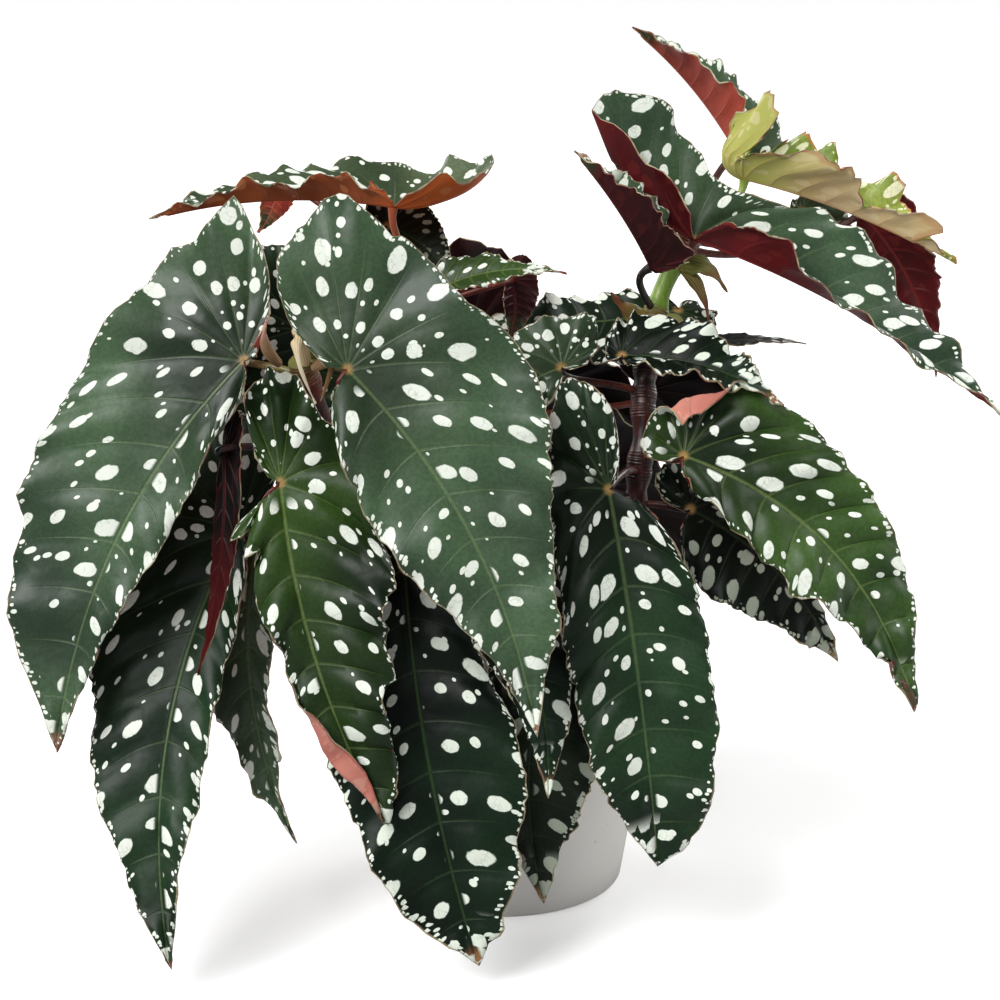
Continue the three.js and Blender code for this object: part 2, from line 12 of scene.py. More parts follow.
import bpy
import numpy as np
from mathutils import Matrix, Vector


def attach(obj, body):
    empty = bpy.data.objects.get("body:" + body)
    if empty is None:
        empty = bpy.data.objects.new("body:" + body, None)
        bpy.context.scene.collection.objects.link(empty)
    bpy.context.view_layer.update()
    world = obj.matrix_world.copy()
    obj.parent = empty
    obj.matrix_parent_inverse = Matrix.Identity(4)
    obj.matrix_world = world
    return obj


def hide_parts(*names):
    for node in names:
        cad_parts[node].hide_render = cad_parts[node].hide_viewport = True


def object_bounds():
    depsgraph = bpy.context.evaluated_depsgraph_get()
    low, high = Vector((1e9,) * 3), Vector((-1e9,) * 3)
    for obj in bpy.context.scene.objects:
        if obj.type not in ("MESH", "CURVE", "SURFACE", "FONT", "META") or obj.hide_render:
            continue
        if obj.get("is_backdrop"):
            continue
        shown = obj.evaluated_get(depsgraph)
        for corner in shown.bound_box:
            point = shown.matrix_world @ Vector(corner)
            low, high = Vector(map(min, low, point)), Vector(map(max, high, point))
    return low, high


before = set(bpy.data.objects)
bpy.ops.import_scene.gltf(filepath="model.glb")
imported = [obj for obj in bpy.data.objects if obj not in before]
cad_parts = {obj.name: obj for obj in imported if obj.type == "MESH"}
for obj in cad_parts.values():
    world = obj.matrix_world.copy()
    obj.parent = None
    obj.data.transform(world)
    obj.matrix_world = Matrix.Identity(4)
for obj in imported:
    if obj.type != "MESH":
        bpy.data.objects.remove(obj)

MM = 0.001
bpy.ops.object.select_all(action="DESELECT")
solid_low, solid_high = (Vector(corner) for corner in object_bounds())
print("solid model's box in mm:", [round(v / MM) for v in (*solid_low, *solid_high)])

# %% [markdown]
# ## The camera
#
# The plant was seen from the front and a little above, from about a metre away, so the camera stands 16 degrees
# above the middle of the leaves. A long lens keeps the leaves' proportions calm.

# %% The camera
AIM = Vector((0, 0, 0.143))
CAMERA_DISTANCE = 1.0
CAMERA_RISE = math.radians(16)

bpy.ops.object.camera_add(
    location=AIM + Vector((0, -math.cos(CAMERA_RISE), math.sin(CAMERA_RISE))) * CAMERA_DISTANCE,
    rotation=(math.pi / 2 - CAMERA_RISE, 0, 0),
)
camera = bpy.context.object
camera.data.lens = 100
camera.data.sensor_width = 36
bpy.context.scene.camera = camera
print("camera at", [round(v, 3) for v in camera.location])

# %% [markdown]
# ## Short words for shader nodes
#
# A material is a small program of nodes. These helpers add one node each and join it to what feeds it. What comes out
# of a node is kept as a Value, and each sign between Values adds a Math node, so that the programs below read as
# sums. In place of a Value there may be a plain number.

# %% Helpers that add one node each
class Value:
    """What comes out of a node."""

    def __init__(self, socket):
        self.socket = socket

    def __add__(self, other):
        return calc("ADD", self, other)

    def __sub__(self, other):
        return calc("SUBTRACT", self, other)

    def __mul__(self, other):
        return calc("MULTIPLY", self, other)

    def __truediv__(self, other):
        return calc("DIVIDE", self, other)

    def __lt__(self, other):
        return calc("LESS_THAN", self, other)

    def __gt__(self, other):
        return calc("GREATER_THAN", self, other)

    def __abs__(self):
        return calc("ABSOLUTE", self)


def feed(socket, value):
    if isinstance(value, Value):
        socket.id_data.links.new(value.socket, socket)
    else:
        socket.default_value = value


def add_node(kind, inputs=(), tree=None, **settings):
    """Adds a node, to the tree that its inputs come from where none is named, and returns its outputs."""
    inputs = list(inputs)
    tree = tree or next(value.socket.id_data for _, value in inputs if isinstance(value, Value))
    node = tree.nodes.new(kind)
    for name, value in settings.items():
        setattr(node, name, value)
    for key, value in inputs:
        feed(node.inputs[key], value)
    return node.outputs


def calc(operation, *values, clamp=False):
    return Value(add_node("ShaderNodeMath", enumerate(values), operation=operation, use_clamp=clamp)[0])


def calc_vector(operation, *vectors):
    return Value(add_node("ShaderNodeVectorMath", enumerate(vectors), operation=operation)[0])


def larger(first, second):
    return calc("MAXIMUM", first, second)


def blend(share, first, second, mode="MIX"):
    inputs = [(0, share), (6, first), (7, second)]
    return Value(add_node("ShaderNodeMix", inputs, data_type="RGBA", blend_type=mode)[2])


def between(share, low, high):
    return Value(add_node("ShaderNodeMix", [(0, share), (2, low), (3, high)], data_type="FLOAT")[0])


def ease(value, low, high):
    """0 where value is at low, 1 where it is at high, with a soft start and end; low may be the larger one."""
    inputs = [(0, value), (1, low), (2, high), (3, 0.0), (4, 1.0)]
    return Value(add_node("ShaderNodeMapRange", inputs, interpolation_type="SMOOTHSTEP")[0])


def split(vector):
    return [Value(part) for part in add_node("ShaderNodeSeparateXYZ", [(0, vector)])]


def join(x, y, z=0.0):
    return Value(add_node("ShaderNodeCombineXYZ", [(0, x), (1, y), (2, z)])[0])


def noise(place, scale, detail=2.0, rough=0.5, output="Fac"):
    inputs = [("Vector", place), ("Scale", scale), ("Detail", detail), ("Roughness", rough)]
    return Value(add_node("ShaderNodeTexNoise", inputs)[output])


def cells(place, scale=1.0, scatter=1.0, **settings):
    """A Voronoi pattern: how far its nearest centre is, where that is, and three chance numbers for each cell."""
    found = add_node(
        "ShaderNodeTexVoronoi", [("Vector", place), ("Scale", scale), ("Randomness", scatter)], **settings)
    luck = add_node("ShaderNodeSeparateColor", [(0, Value(found["Color"]))])
    return Value(found["Distance"]), Value(found["Position"]), [Value(chance) for chance in luck]


def to_cell_edge(place, scale):
    inputs = [("Vector", place), ("Scale", scale)]
    return Value(add_node("ShaderNodeTexVoronoi", inputs, feature="DISTANCE_TO_EDGE")["Distance"])


def object_place(tree):
    return Value(add_node("ShaderNodeTexCoord", tree=tree)["Object"])


def own_map(tree, name):
    return Value(add_node("ShaderNodeUVMap", tree=tree, uv_map=name)[0])


def own_numbers(tree, name):
    return split(Value(add_node("ShaderNodeAttribute", tree=tree, attribute_name=name)["Vector"]))


def new_group(name, inputs, outputs):
    """An empty node group: inputs are (name, kind, default), and outputs are names of plain numbers."""
    group = bpy.data.node_groups.new(name, "ShaderNodeTree")
    for socket_name, kind, *default in inputs:
        socket = group.interface.new_socket(socket_name, in_out="INPUT", socket_type="NodeSocket" + kind)
        if default:
            socket.default_value = default[0]
    for socket_name in outputs:
        group.interface.new_socket(socket_name, in_out="OUTPUT", socket_type="NodeSocketFloat")
    given = {socket.name: Value(socket) for socket in group.nodes.new("NodeGroupInput").outputs}
    return group, given, group.nodes.new("NodeGroupOutput").inputs


def use_group(tree, group, **values):
    inputs = [(name.replace("_", " "), value) for name, value in values.items()]
    return {socket.name: Value(socket) for socket in add_node("ShaderNodeGroup", inputs, tree, node_tree=group)}


def new_material(name):
    material = bpy.data.materials.new(name)
    material.use_nodes = True
    return material, material.node_tree, material.node_tree.nodes["Principled BSDF"].inputs


def paint(red, green, blue):
    """A colour as the eye names it, from 0 to 255, turned to the linear values that light is added up in."""
    levels = (level / 255 for level in (red, green, blue))
    return (*((v / 12.92 if v <= 10 / 255 else ((v + 0.055) / 1.055) ** 2.4) for v in levels), 1.0)


def set_surface(inputs, color, roughness, height=None, depth=0.0005, strength=0.6):
    feed(inputs["Base Color"], color)
    feed(inputs["Roughness"], roughness)
    if height is not None:
        bump = add_node("ShaderNodeBump", [("Strength", strength), ("Distance", depth), ("Height", height)])
        feed(inputs["Normal"], Value(bump["Normal"]))


print("a mid green in linear values:", [round(v, 3) for v in paint(64, 96, 64)])

# %% [markdown]
# ## The studio
#
# A begonia's blades are satin: they show their form in broad pale reflections and not in bright points. So the main
# light is a very wide soft one from above on the left, helped by a panel above on the right and a weak one near the
# camera. The floor and what lies behind it are almost white, as in a catalogue, but the surroundings that light the
# blades are greyer, or every dark blade would carry a milky haze. A Light Path node tells the two apart.

# %% Floor, panels and surroundings
FLOOR_LIT, FLOOR_SEEN, FLOOR_GLOW = 0.42, 0.92, 0.22
SKY_LIT, SKY_SEEN = 0.12, 1.0
bpy.context.scene.view_settings.view_transform = "Standard"


def seen_by_camera(tree):
    return Value(add_node("ShaderNodeLightPath", tree=tree)["Is Camera Ray"])


bpy.ops.mesh.primitive_plane_add(size=12, location=(0, 3, 0))
floor = bpy.context.object
floor.name = "floor"
floor_paint, floor_tree, floor_inputs = new_material("floor_paint")
seen = seen_by_camera(floor_tree)
set_surface(floor_inputs, between(seen, FLOOR_LIT, FLOOR_SEEN), 0.9)
feed(floor_inputs["Emission Color"], seen)
feed(floor_inputs["Emission Strength"], FLOOR_GLOW)
floor.data.materials.append(floor_paint)
floor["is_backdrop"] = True

surroundings = bpy.data.worlds.new("surroundings")
surroundings.use_nodes = True
sky = surroundings.node_tree.nodes["Background"].inputs
feed(sky["Color"], (1, 1, 1, 1))
feed(sky["Strength"], between(seen_by_camera(surroundings.node_tree), SKY_LIT, SKY_SEEN))
bpy.context.scene.world = surroundings


def add_light(name, kind, place, energy):
    bpy.ops.object.light_add(type=kind, location=place)
    light = bpy.context.object
    light.name = name
    light.data.energy = energy
    light.rotation_euler = (AIM - light.location).to_track_quat("-Z", "Y").to_euler()
    return light.data


add_light("wide_soft_light", "SUN", (-0.9, -1.0, 1.5), 3.3).angle = math.radians(36)
PANELS = {
    "panel_above_right": dict(place=(1.0, 0.3, 1.2), size=0.7, watts=8),
    "panel_right": dict(place=(1.6, -0.3, 0.3), size=0.8, watts=6),
    "panel_behind_left": dict(place=(-1.2, 1.2, 0.7), size=0.8, watts=12),
    "panel_behind_right": dict(place=(0.9, 1.4, 0.6), size=0.8, watts=12),
    "panel_near_camera": dict(place=(-0.3, -1.6, 0.8), size=0.8, watts=2.5),
}
for name, panel in PANELS.items():
    add_light(name, "AREA", panel["place"], panel["watts"]).size = panel["size"]
print("lights: wide_soft_light,", ", ".join(PANELS))

# %% [markdown]
# ## Spots that grow between the veins
#
# The silver spots are blisters of air under the skin. They sit in rows between the veins and are drawn out along
# them. Each blade below carries a map whose first number counts the vein gaps and whose second number runs along
# the vein in centimetres. In that map every cell of a Voronoi pattern holds one spot: the pattern tells where the
# nearest centre is, the way there is turned back to millimetres, and an ellipse is tested around it.

# %% The group for one layer of spots
def make_spot_layer():
    group, given, made = new_group(
        "spots between veins",
        [("Veins", "Vector"), ("Gap", "Float", 10.0), ("Rows", "Float", 1.0), ("Spacing", "Float", 12.0),
         ("Least", "Float", 1.0), ("Most", "Float", 3.0), ("Share", "Float", 0.7), ("Scatter", "Float", 0.5),
         ("Seed", "Float", 0.0)],
        ["Spot"],
    )
    count, along, _ = split(given["Veins"])
    across_cells = count * given["Rows"] + (given["Scatter"] * 0.5 - 0.5) + given["Seed"]
    place = join(across_cells, along * 10.0 / given["Spacing"])
    _, centre, luck = cells(place, 1.0, given["Scatter"], voronoi_dimensions="2D")
    off_across, off_along, _ = split(calc_vector("SUBTRACT", place, centre))
    row = given["Gap"] / given["Rows"]
    size = between(luck[0], given["Least"], given["Most"])
    half_width = calc("MINIMUM", size, row * 0.27)
    half_length = larger(half_width, size * 0.3) * (luck[1] * 0.75 + 0.95)
    x, y = off_across * row / half_width, off_along * given["Spacing"] / half_length
    wobble = noise(join(count * 5.0, along * 4.0), 1.0) * 0.44 - 0.22
    ragged = calc("SQRT", x * x + y * y) + wobble
    feed(made["Spot"], ease(ragged, 1.08, 0.92) * (luck[2] < given["Share"]))
    return group


spot_layer = make_spot_layer()
print("spot layer:", len(spot_layer.nodes), "nodes")

# %% [markdown]
# ## Dots along the margin
#
# Along its edge a blade is powdered with dots of half a millimetre to two, thick in some places and thin in others.
# A second map runs along the margin in its first number and inwards from it in its second, both in centimetres.

# %% The group for the margin's dots
DOT_PITCH, DOT_REACH, DOT_SIZE = 1.7, 2.6, 0.62


def make_margin_dots():
    group, given, made = new_group("dots along the margin", [("Margin", "Vector")], ["Dot"])
    along, inwards, _ = split(given["Margin"])
    place = join(along * (10.0 / DOT_PITCH), inwards * (10.0 / DOT_PITCH))
    distance, _, luck = cells(place, 1.0, 0.95, voronoi_dimensions="2D")
    radius = (luck[0] * 0.9 + 0.45) * DOT_SIZE
    dot = ease(distance * DOT_PITCH / radius, 1.12, 0.88)
    crowd = noise(join(along * 0.9, 0.0), 1.0)
    thinning = inwards * 10.0 / ((crowd * 2.2 - 0.1) * DOT_REACH)
    feed(made["Dot"], dot * (luck[1] > thinning + 0.1))
    return group


margin_dots = make_margin_dots()
print("margin dots:", len(margin_dots.nodes), "nodes")

# %% [markdown]
# ## All the markings of a blade
#
# The markings are the same on both faces: silver on the green top, pale flecks through the red underside. So one
# group gathers them as masks: the large spots in the middle of each vein gap, small ones in two rows, the merged
# blotches at the tip, the margin's dots, the fine net of veins in a spot, the main veins, and the thin edge line.

# %% The group that gathers a blade's markings
LARGE_SPOTS = dict(Rows=1.0, Spacing=11.5, Scatter=0.55)
SMALL_SPOTS = dict(Rows=2.0, Spacing=8.0, Scatter=0.85, Seed=31.0)
TIP_BLOTCHES = dict(Rows=1.0, Spacing=5.0, Scatter=0.8, Seed=57.0, Least=1.5, Most=3.2, Share=0.85)


def make_blade_markings():
    group, given, made = new_group(
        "blade markings",
        [("Spottedness", "Float", 1.0), ("Spot Size", "Float", 1.0), ("Dots", "Float", 1.0)],
        ["Silver", "Net", "Vein", "Stalk End", "Edge", "Relief"],
    )
    veins, margin = own_map(group, "Veins"), own_map(group, "Margin")
    gap_cm, share_out, _ = split(own_map(group, "Cell"))
    gap = gap_cm * 10.0
    from_rib, from_tip, from_stalk = own_numbers(group, "reach")
    size, spotted = given["Spot Size"], given["Spottedness"]
    large = use_group(group, spot_layer, Veins=veins, Gap=gap, Least=size * 1.25, Most=size * 3.1,
                      Share=spotted * 0.92, **LARGE_SPOTS)["Spot"]
    small = use_group(group, spot_layer, Veins=veins, Gap=gap, Least=size * 0.4, Most=size * 1.15,
                      Share=spotted * 0.38, **SMALL_SPOTS)["Spot"]
    tip = use_group(group, spot_layer, Veins=veins, Gap=larger(gap, 4.0), **TIP_BLOTCHES)["Spot"]
    dots = use_group(group, margin_dots, Margin=margin)["Dot"] * given["Dots"]
    clear_of_veins = ease(from_rib, 0.10, 0.22) * ease(from_stalk, 0.45, 1.0)
    inner = larger(large, small) * clear_of_veins
    silver = calc("MAXIMUM", larger(inner, tip * ease(from_tip, 2.0, 1.2)), dots, clamp=True)
    feed(made["Silver"], silver)

    body = object_place(group)
    strayed = calc_vector("MULTIPLY_ADD", noise(body, 260.0, 1.0, output="Color"), (0.0035,) * 3, body)
    net = ease(to_cell_edge(strayed, 430.0), 0.08, 0.0)
    feed(made["Net"], net * ease(noise(body, 300.0, 1.0), 0.4, 0.6))

    count, _, _ = split(veins)
    to_vein = abs(count - calc("ROUND", count)) * gap
    half_width = between(share_out, 0.62, 0.25)
    side_veins = ease(to_vein, half_width, half_width * 0.3) * ease(share_out, 1.0, 0.35)
    rib = ease(from_rib * 10.0, between(ease(from_tip, 3.0, 9.0), 0.5, 1.0), 0.25)
    vein = larger(side_veins * 0.48, rib)
    feed(made["Vein"], vein)
    feed(made["Stalk End"], ease(from_stalk, 0.27, 0.05))
    _, inwards, _ = split(margin)
    feed(made["Edge"], ease(inwards, 0.035, 0.012))

    creases = ease(to_cell_edge(body, 150.0), 0.34, 0.0) * -0.16
    swelling = noise(body, 70.0, 1.0) * 2.4
    feed(made["Relief"], vein * -0.7 + (creases + swelling))
    return group


blade_markings = make_blade_markings()
print("blade markings:", len(blade_markings.nodes), "nodes")

# %% [markdown]
# ## The green face and the red face
#
# Both faces share the markings and differ in paint. The top is a cool dark green with a grey bloom, multiplied by
# painted light: darker by the stalk as painted shade, and lighter and bluer further out as painted sheen, in amounts
# set for each paint (for olive_dark the other way round). Its spots are silver with a fine net in them. Under the
# blade the cells hold a red dye, so the same veins stand out on crimson and the spots show through as paler flecks.
# Leaves in the shade of others get darker copies of these paints as painted shade, and young ones have paints of
# their own.

# %% Materials for the blades
def make_top_face(family, shade, lit, vein, silver=(232, 238, 226), spottedness=1.0, spot_size=1.0, dots=1.0,
                  sheen=0.36, tip=None, edge=(150, 132, 104), painted_light_by_stalk=(0.62, 0.66, 0.58),
                  painted_light_further_out=(1.16, 1.18, 1.36)):
    material, tree, surface = new_material("top_" + family)
    marks = use_group(tree, blade_markings, Spottedness=spottedness, Spot_Size=spot_size, Dots=dots)
    _, from_tip, from_stalk = own_numbers(tree, "reach")
    body = object_place(tree)
    clouds, grain = noise(body, 22.0), noise(body, 900.0, 1.0)
    green = blend(ease(clouds, 0.30, 0.72), paint(*shade), paint(*lit))
    # Painted light: the green is darkened by the stalk as painted shade and lightened and blued further out as
    # painted sheen, by the two triples of each paint.
    outwards = ease(from_stalk, 0.6, 5.4)
    painted_light_tone = join(*(outwards * (far - near) + near for near, far in zip(painted_light_by_stalk, painted_light_further_out)))
    green = blend(1.0, green, painted_light_tone, "MULTIPLY")
    green = blend(marks["Vein"] * 0.27, green, paint(*vein))
    green = blend(marks["Stalk End"] * 0.8, green, paint(170, 134, 78))
    if tip:
        green = blend(ease(from_tip, 0.9, 0.3), green, paint(*tip))
    freckled = ease(grain, 0.35, 0.65) * 0.22 + 0.86
    green = blend(1.0, green, join(freckled, freckled, freckled), "MULTIPLY")
    netted = blend(marks["Net"] * 0.34, paint(*silver), paint(120, 140, 112))
    color = blend(marks["Silver"], green, netted)
    color = blend(marks["Edge"] * 0.8, color, paint(*edge))
    roughness = between(marks["Silver"], clouds * 0.14 + 0.36, 0.52)
    set_surface(surface, color, roughness, marks["Relief"] + noise(body, 260.0) * 0.30)
    feed(surface["Specular IOR Level"], sheen)
    return material


def make_under_face(family, deep, bright, fleck, vein, flecked=0.14, sheen=0.3, near_stalk=None, fades=(5, 8)):
    material, tree, surface = new_material("under_" + family)
    marks = use_group(tree, blade_markings, Spottedness=1.0, Spot_Size=0.95, Dots=0.6)
    _, from_tip, _ = own_numbers(tree, "reach")
    body = object_place(tree)
    clouds = noise(body, 30.0, 3.0)
    red = blend(ease(clouds, 0.30, 0.72), paint(*deep), paint(*bright))
    if near_stalk:
        red = blend(ease(from_tip, *fades), red, paint(*near_stalk))
    else:
        red = blend(ease(from_tip, 1.3, 0.6), red, paint(44, 62, 36))
    red = blend(marks["Silver"] * flecked, red, paint(*fleck))
    red = blend(marks["Vein"] * 0.6, red, paint(*vein))
    red = blend(marks["Net"] * 0.10, red, paint(*deep))
    red = blend(marks["Edge"] * 0.55, red, paint(*vein))
    set_surface(surface, red, clouds * 0.12 + 0.36, marks["Vein"] * 0.8 + noise(body, 420.0) * 0.25)
    feed(surface["Specular IOR Level"], sheen)
    return material


def make_rim():
    material, tree, surface = new_material("rim")
    patches = ease(noise(object_place(tree), 130.0, 3.0), 0.40, 0.62)
    set_surface(surface, blend(patches, paint(120, 74, 60), paint(170, 166, 130)), 0.5)
    return material


rim_face = make_rim()
# Painted shade: green is the lit paint of the front leaves, and middle, deep, shaded and olive_dark are darker copies
# of it for leaves further in, with dimmer silver spots on shaded.
top_faces = {family: make_top_face(family, **paints) for family, paints in {
    "green": dict(shade=(33, 51, 31), lit=(66, 89, 57), vein=(128, 150, 96), spot_size=0.93, tip=(150, 110, 92)),
    "middle": dict(shade=(13, 30, 14), lit=(33, 57, 30), vein=(112, 138, 84), spot_size=0.88, sheen=0.22),
    "deep": dict(shade=(5, 14, 7), lit=(19, 38, 20), vein=(70, 100, 54), silver=(222, 230, 216), spot_size=0.98,
                 sheen=0.16, tip=(150, 104, 66)),
    "shaded": dict(shade=(6, 12, 7), lit=(28, 38, 22), vein=(60, 80, 46), silver=(158, 166, 150), spot_size=0.88,
                   sheen=0.14, tip=(140, 110, 76)),
    "olive": dict(shade=(20, 40, 12), lit=(58, 84, 32), vein=(146, 166, 98), spottedness=0.86, spot_size=0.92,
                  sheen=0.3),
    "olive_dark": dict(shade=(12, 28, 8), lit=(44, 66, 24), vein=(146, 166, 98), spottedness=0.86, spot_size=0.92,
                       sheen=0.26, painted_light_by_stalk=(1.1, 1.2, 0.85), painted_light_further_out=(0.8, 0.9, 0.95)),
    "copper": dict(shade=(50, 66, 40), lit=(92, 106, 74), vein=(130, 140, 84), painted_light_by_stalk=(0.9, 0.9, 0.9),
                   painted_light_further_out=(1.0, 1.0, 1.1)),
    "plain": dict(shade=(8, 12, 10), lit=(22, 30, 22), vein=(40, 50, 34), spottedness=0.0, dots=0.1, sheen=0.25,
                  edge=(60, 64, 50)),
    "young": dict(shade=(112, 134, 44), lit=(172, 184, 88), vein=(196, 190, 110), silver=(240, 238, 200),
                  spot_size=0.6, edge=(190, 120, 70), painted_light_by_stalk=(0.85, 0.9, 0.7), painted_light_further_out=(1.0, 1.0, 1.0)),
}.items()}
# Painted shade: maroon, dark and crimson are darker copies of the red underside for leaves deep in the plant, and
# crimson turns near black by its stalk.
under_faces = {family: make_under_face(family, *paints, **more) for family, (*paints, more) in {
    "red": ((66, 11, 15), (104, 20, 24), (158, 62, 56), (142, 44, 40), {}),
    "maroon": ((36, 8, 11), (60, 12, 16), (112, 40, 38), (92, 26, 26), {}),
    "brick": ((124, 42, 32), (176, 70, 50), (196, 104, 80), (190, 92, 66), {}),
    "dark": ((11, 5, 7), (24, 8, 10), (50, 22, 24), (34, 13, 14), dict(sheen=0.15)),
    "crimson": ((46, 6, 8), (88, 12, 13), (100, 26, 26), (66, 8, 9),
                dict(sheen=0.12, near_stalk=(6, 3, 3), fades=(3.4, 5.2))),
    # Partly painted light: this orange is the leaf's own copper with a painted glow of light shining through the
    # blade.
    "copper": ((126, 58, 30), (176, 96, 54), (214, 142, 94), (132, 58, 32),
               dict(flecked=0.5, near_stalk=(204, 100, 46), fades=(7.4, 8.6))),
    "pink": ((178, 100, 88), (212, 146, 128), (232, 184, 162), (140, 52, 54), dict(flecked=0.3)),
    "young": ((208, 180, 128), (232, 212, 166), (240, 226, 184), (188, 132, 88),
              dict(flecked=0.35, near_stalk=(182, 184, 98), fades=(5.0, 7.8))),
}.items()}
print("blade materials:", len(top_faces) + len(under_faces))

# %% [markdown]
# ## How one blade is laid out
#
# Every blade has the same plan: a midrib from the stalk to the tip, a big lobe on one side and a small one on the
# other. The outlines are curves through a few points, as shares of the blade's length. From the stalk and the midrib
# rays run out to the edge, as the veins do. A blade could be modelled by hand and bent 33 times, but then no two
# maps would match. Laying a grid along the rays gives the shape and the spot maps in one go. In the tables True
# stands for the half with the big lobe and False for the other.

# %% The plan that all blades share
EDGES = {
    True: (
        (-0.03, -0.05), (-0.16, -0.09), (-0.30, -0.05), (-0.385, 0.06), (-0.37, 0.17), (-0.26, 0.255),
        (-0.10, 0.315), (0.08, 0.365), (0.27, 0.375), (0.45, 0.335), (0.62, 0.255), (0.78, 0.165),
        (0.90, 0.075), (1, 0),
    ),
    False: (
        (0.03, -0.055), (0.10, -0.09), (0.20, -0.105), (0.36, -0.10), (0.54, -0.06), (0.72, -0.02), (0.87, 0),
        (1, 0),
    ),
}
FORK = {True: 0.20, False: 0.12}
LOBE_VEINS = {True: 7, False: 2}
RIB_VEINS = 8
FOLD_SETTLES = 0.6
OUTLINE_BOW = 0.09
SMALL_HALF_WAVES = 0.6
DENT_WIDTH = 0.07
BLADE_THICKNESS = 0.55
NOT_QUITE_FLAT = 0.001


def part_of(big):
    return "big" if big else "small"


def soft_step(t):
    t = np.clip(t, 0, 1)
    return t * t * (3 - 2 * t)


def unit(vectors, least=1e-6):
    return vectors / np.maximum(np.linalg.norm(vectors, axis=-1, keepdims=True), least)


def run_along(points):
    """How far along the line each of its points is."""
    return np.concatenate([[0], np.cumsum(np.linalg.norm(np.diff(points, axis=0), axis=-1))])


def through_points(points, share, straight_ends=False):
    """The curve through the points, at shares 0 to 1, with the same weights as the solid model's."""
    points = np.array(points, float)
    ends = [2 * points[0] - points[1], 2 * points[-1] - points[-2]] if straight_ends else points[[0, -1]]
    padded = np.vstack([ends[0], points, ends[1]])
    along = np.clip(share, 0, 1) * (len(points) - 1)
    first = np.minimum(np.floor(along).astype(int), len(points) - 2)
    t = (along - first)[:, None]
    before, start, end, after = (padded[first + k] for k in range(4))
    out, into = (end - before) / 2, (after - start) / 2
    return ((2 * start - 2 * end + out + into) * t**3 + (3 * end - 3 * start - 2 * out - into) * t**2
            + out * t + start)


def edge_share(big, station):
    """Where on the edge the vein from the midrib's station (0 to 1) ends."""
    shares = np.linspace(0.3 if big else 0, 1, 400)
    along = through_points(EDGES[big], shares)[:, 0]
    return np.interp(FORK[big] + (1 - FORK[big]) * station, along, shares)


def outline(leaf, big, share):
    x, y = through_points(EDGES[big], share).T
    bend = np.where(x > 0, 4 * x * (1 - x), 0)
    dent = leaf["dent"] * np.exp(-(((share - leaf["dent_at"]) / DENT_WIDTH) ** 2)) if big else 0
    lap = np.where((y < 0) & big, leaf["lap"], 1)
    wide = leaf["wide_" + part_of(big)] * (1 + leaf["blunt"] * np.maximum(0, x) ** 2)
    skew = leaf["skew"] * np.maximum(0, -x) * big
    across = leaf["bow"] * bend + (y - OUTLINE_BOW * bend) * wide * lap * (1 - dent) + skew
    return np.where(x < 0, x * leaf["lobe"], x), across


def midrib(leaf, p):
    """The midrib from the side: how far along and up its places p are, and how steep it is there."""
    arch = leaf["arch"] or NOT_QUITE_FLAT
    bend = leaf["lobe_bend"] or NOT_QUITE_FLAT
    half = arch / 2
    radius = 1 / (2 * math.sin(half))
    lobe_slope = np.maximum(half + bend * p, -leaf["lobe_stop"])
    straight = np.minimum(p + (leaf["lobe_stop"] + half) / bend, 0)
    slope = np.where(p >= 0, arch * (0.5 - p), lobe_slope)
    along = np.where(p >= 0, radius * (math.sin(half) - np.sin(slope)),
                     (np.sin(slope) - math.sin(half)) / bend + straight * np.cos(slope))
    rise = np.where(p >= 0, radius * (np.cos(slope) - math.cos(half)),
                    (math.cos(half) - np.cos(slope)) / bend + straight * np.sin(slope))
    return along, rise, slope


def rib_at(leaf, p):
    """How far the midrib swings sideways at p."""
    return np.where(p > 0, (leaf["bow"] + leaf["rib"]) * 4 * p * (1 - p), 0)


def axes_of(leaf):
    base, tip = np.array(leaf["base"], float), np.array(leaf["tip"], float)
    length = np.linalg.norm(tip - base)
    x = (tip - base) / length
    z = np.array(leaf["face"], float)
    z -= z.dot(x) * x
    z /= np.linalg.norm(z)
    return base, x, np.cross(z, x), z, length


def bent(leaf, p, q, lift):
    """Points (p, q) of the flat blade, lifted by so many millimetres, where they are on the bent one, in mm."""
    base, *axes, length = axes_of(leaf)
    bow = rib_at(leaf, p)
    across = q - bow
    settled = soft_step(p / FOLD_SETTLES)
    folds = [leaf[key] + (leaf.get(key + "_tip", leaf[key]) - leaf[key]) * settled
             for key in ("fold_big", "fold_small")]
    fold = np.where(across > 0, *folds)
    curl = np.where(across > 0, leaf["curl_big"] or NOT_QUITE_FLAT, leaf["curl_small"] or NOT_QUITE_FLAT)
    turned = fold + curl * abs(across)
    out = bow + np.sign(across) * (np.sin(turned) - np.sin(fold)) / curl
    up = (np.cos(fold) - np.cos(turned)) / curl + lift / length
    along, rise, slope = midrib(leaf, p)
    local = (along - up * np.sin(slope), out * leaf["side"], rise + up * np.cos(slope))
    return base + length * sum(part[..., None] * axis for part, axis in zip(local, axes))


print("a blade's veins on each side:", {part_of(big): veins + RIB_VEINS for big, veins in LOBE_VEINS.items()})

# %% [markdown]
# ## The measured leaves
#
# Each row says which cane bears a blade and how far up it, where the stalk ends, where the tip is and which way the
# top looks. Then come the numbers for its fold, cup, arch and waves. They are the solid model's own values, so the
# fine blades lie on the solid ones. What only the fine blade has follows: its paints, quilting and teeth, how many
# millimetres its outline swells or shrinks at a counted vein (shape), how far its midrib swings more (rib), and
# where its margin rolls over so that the pink underside shows (hem). Lengths are in millimetres, angles in radians.

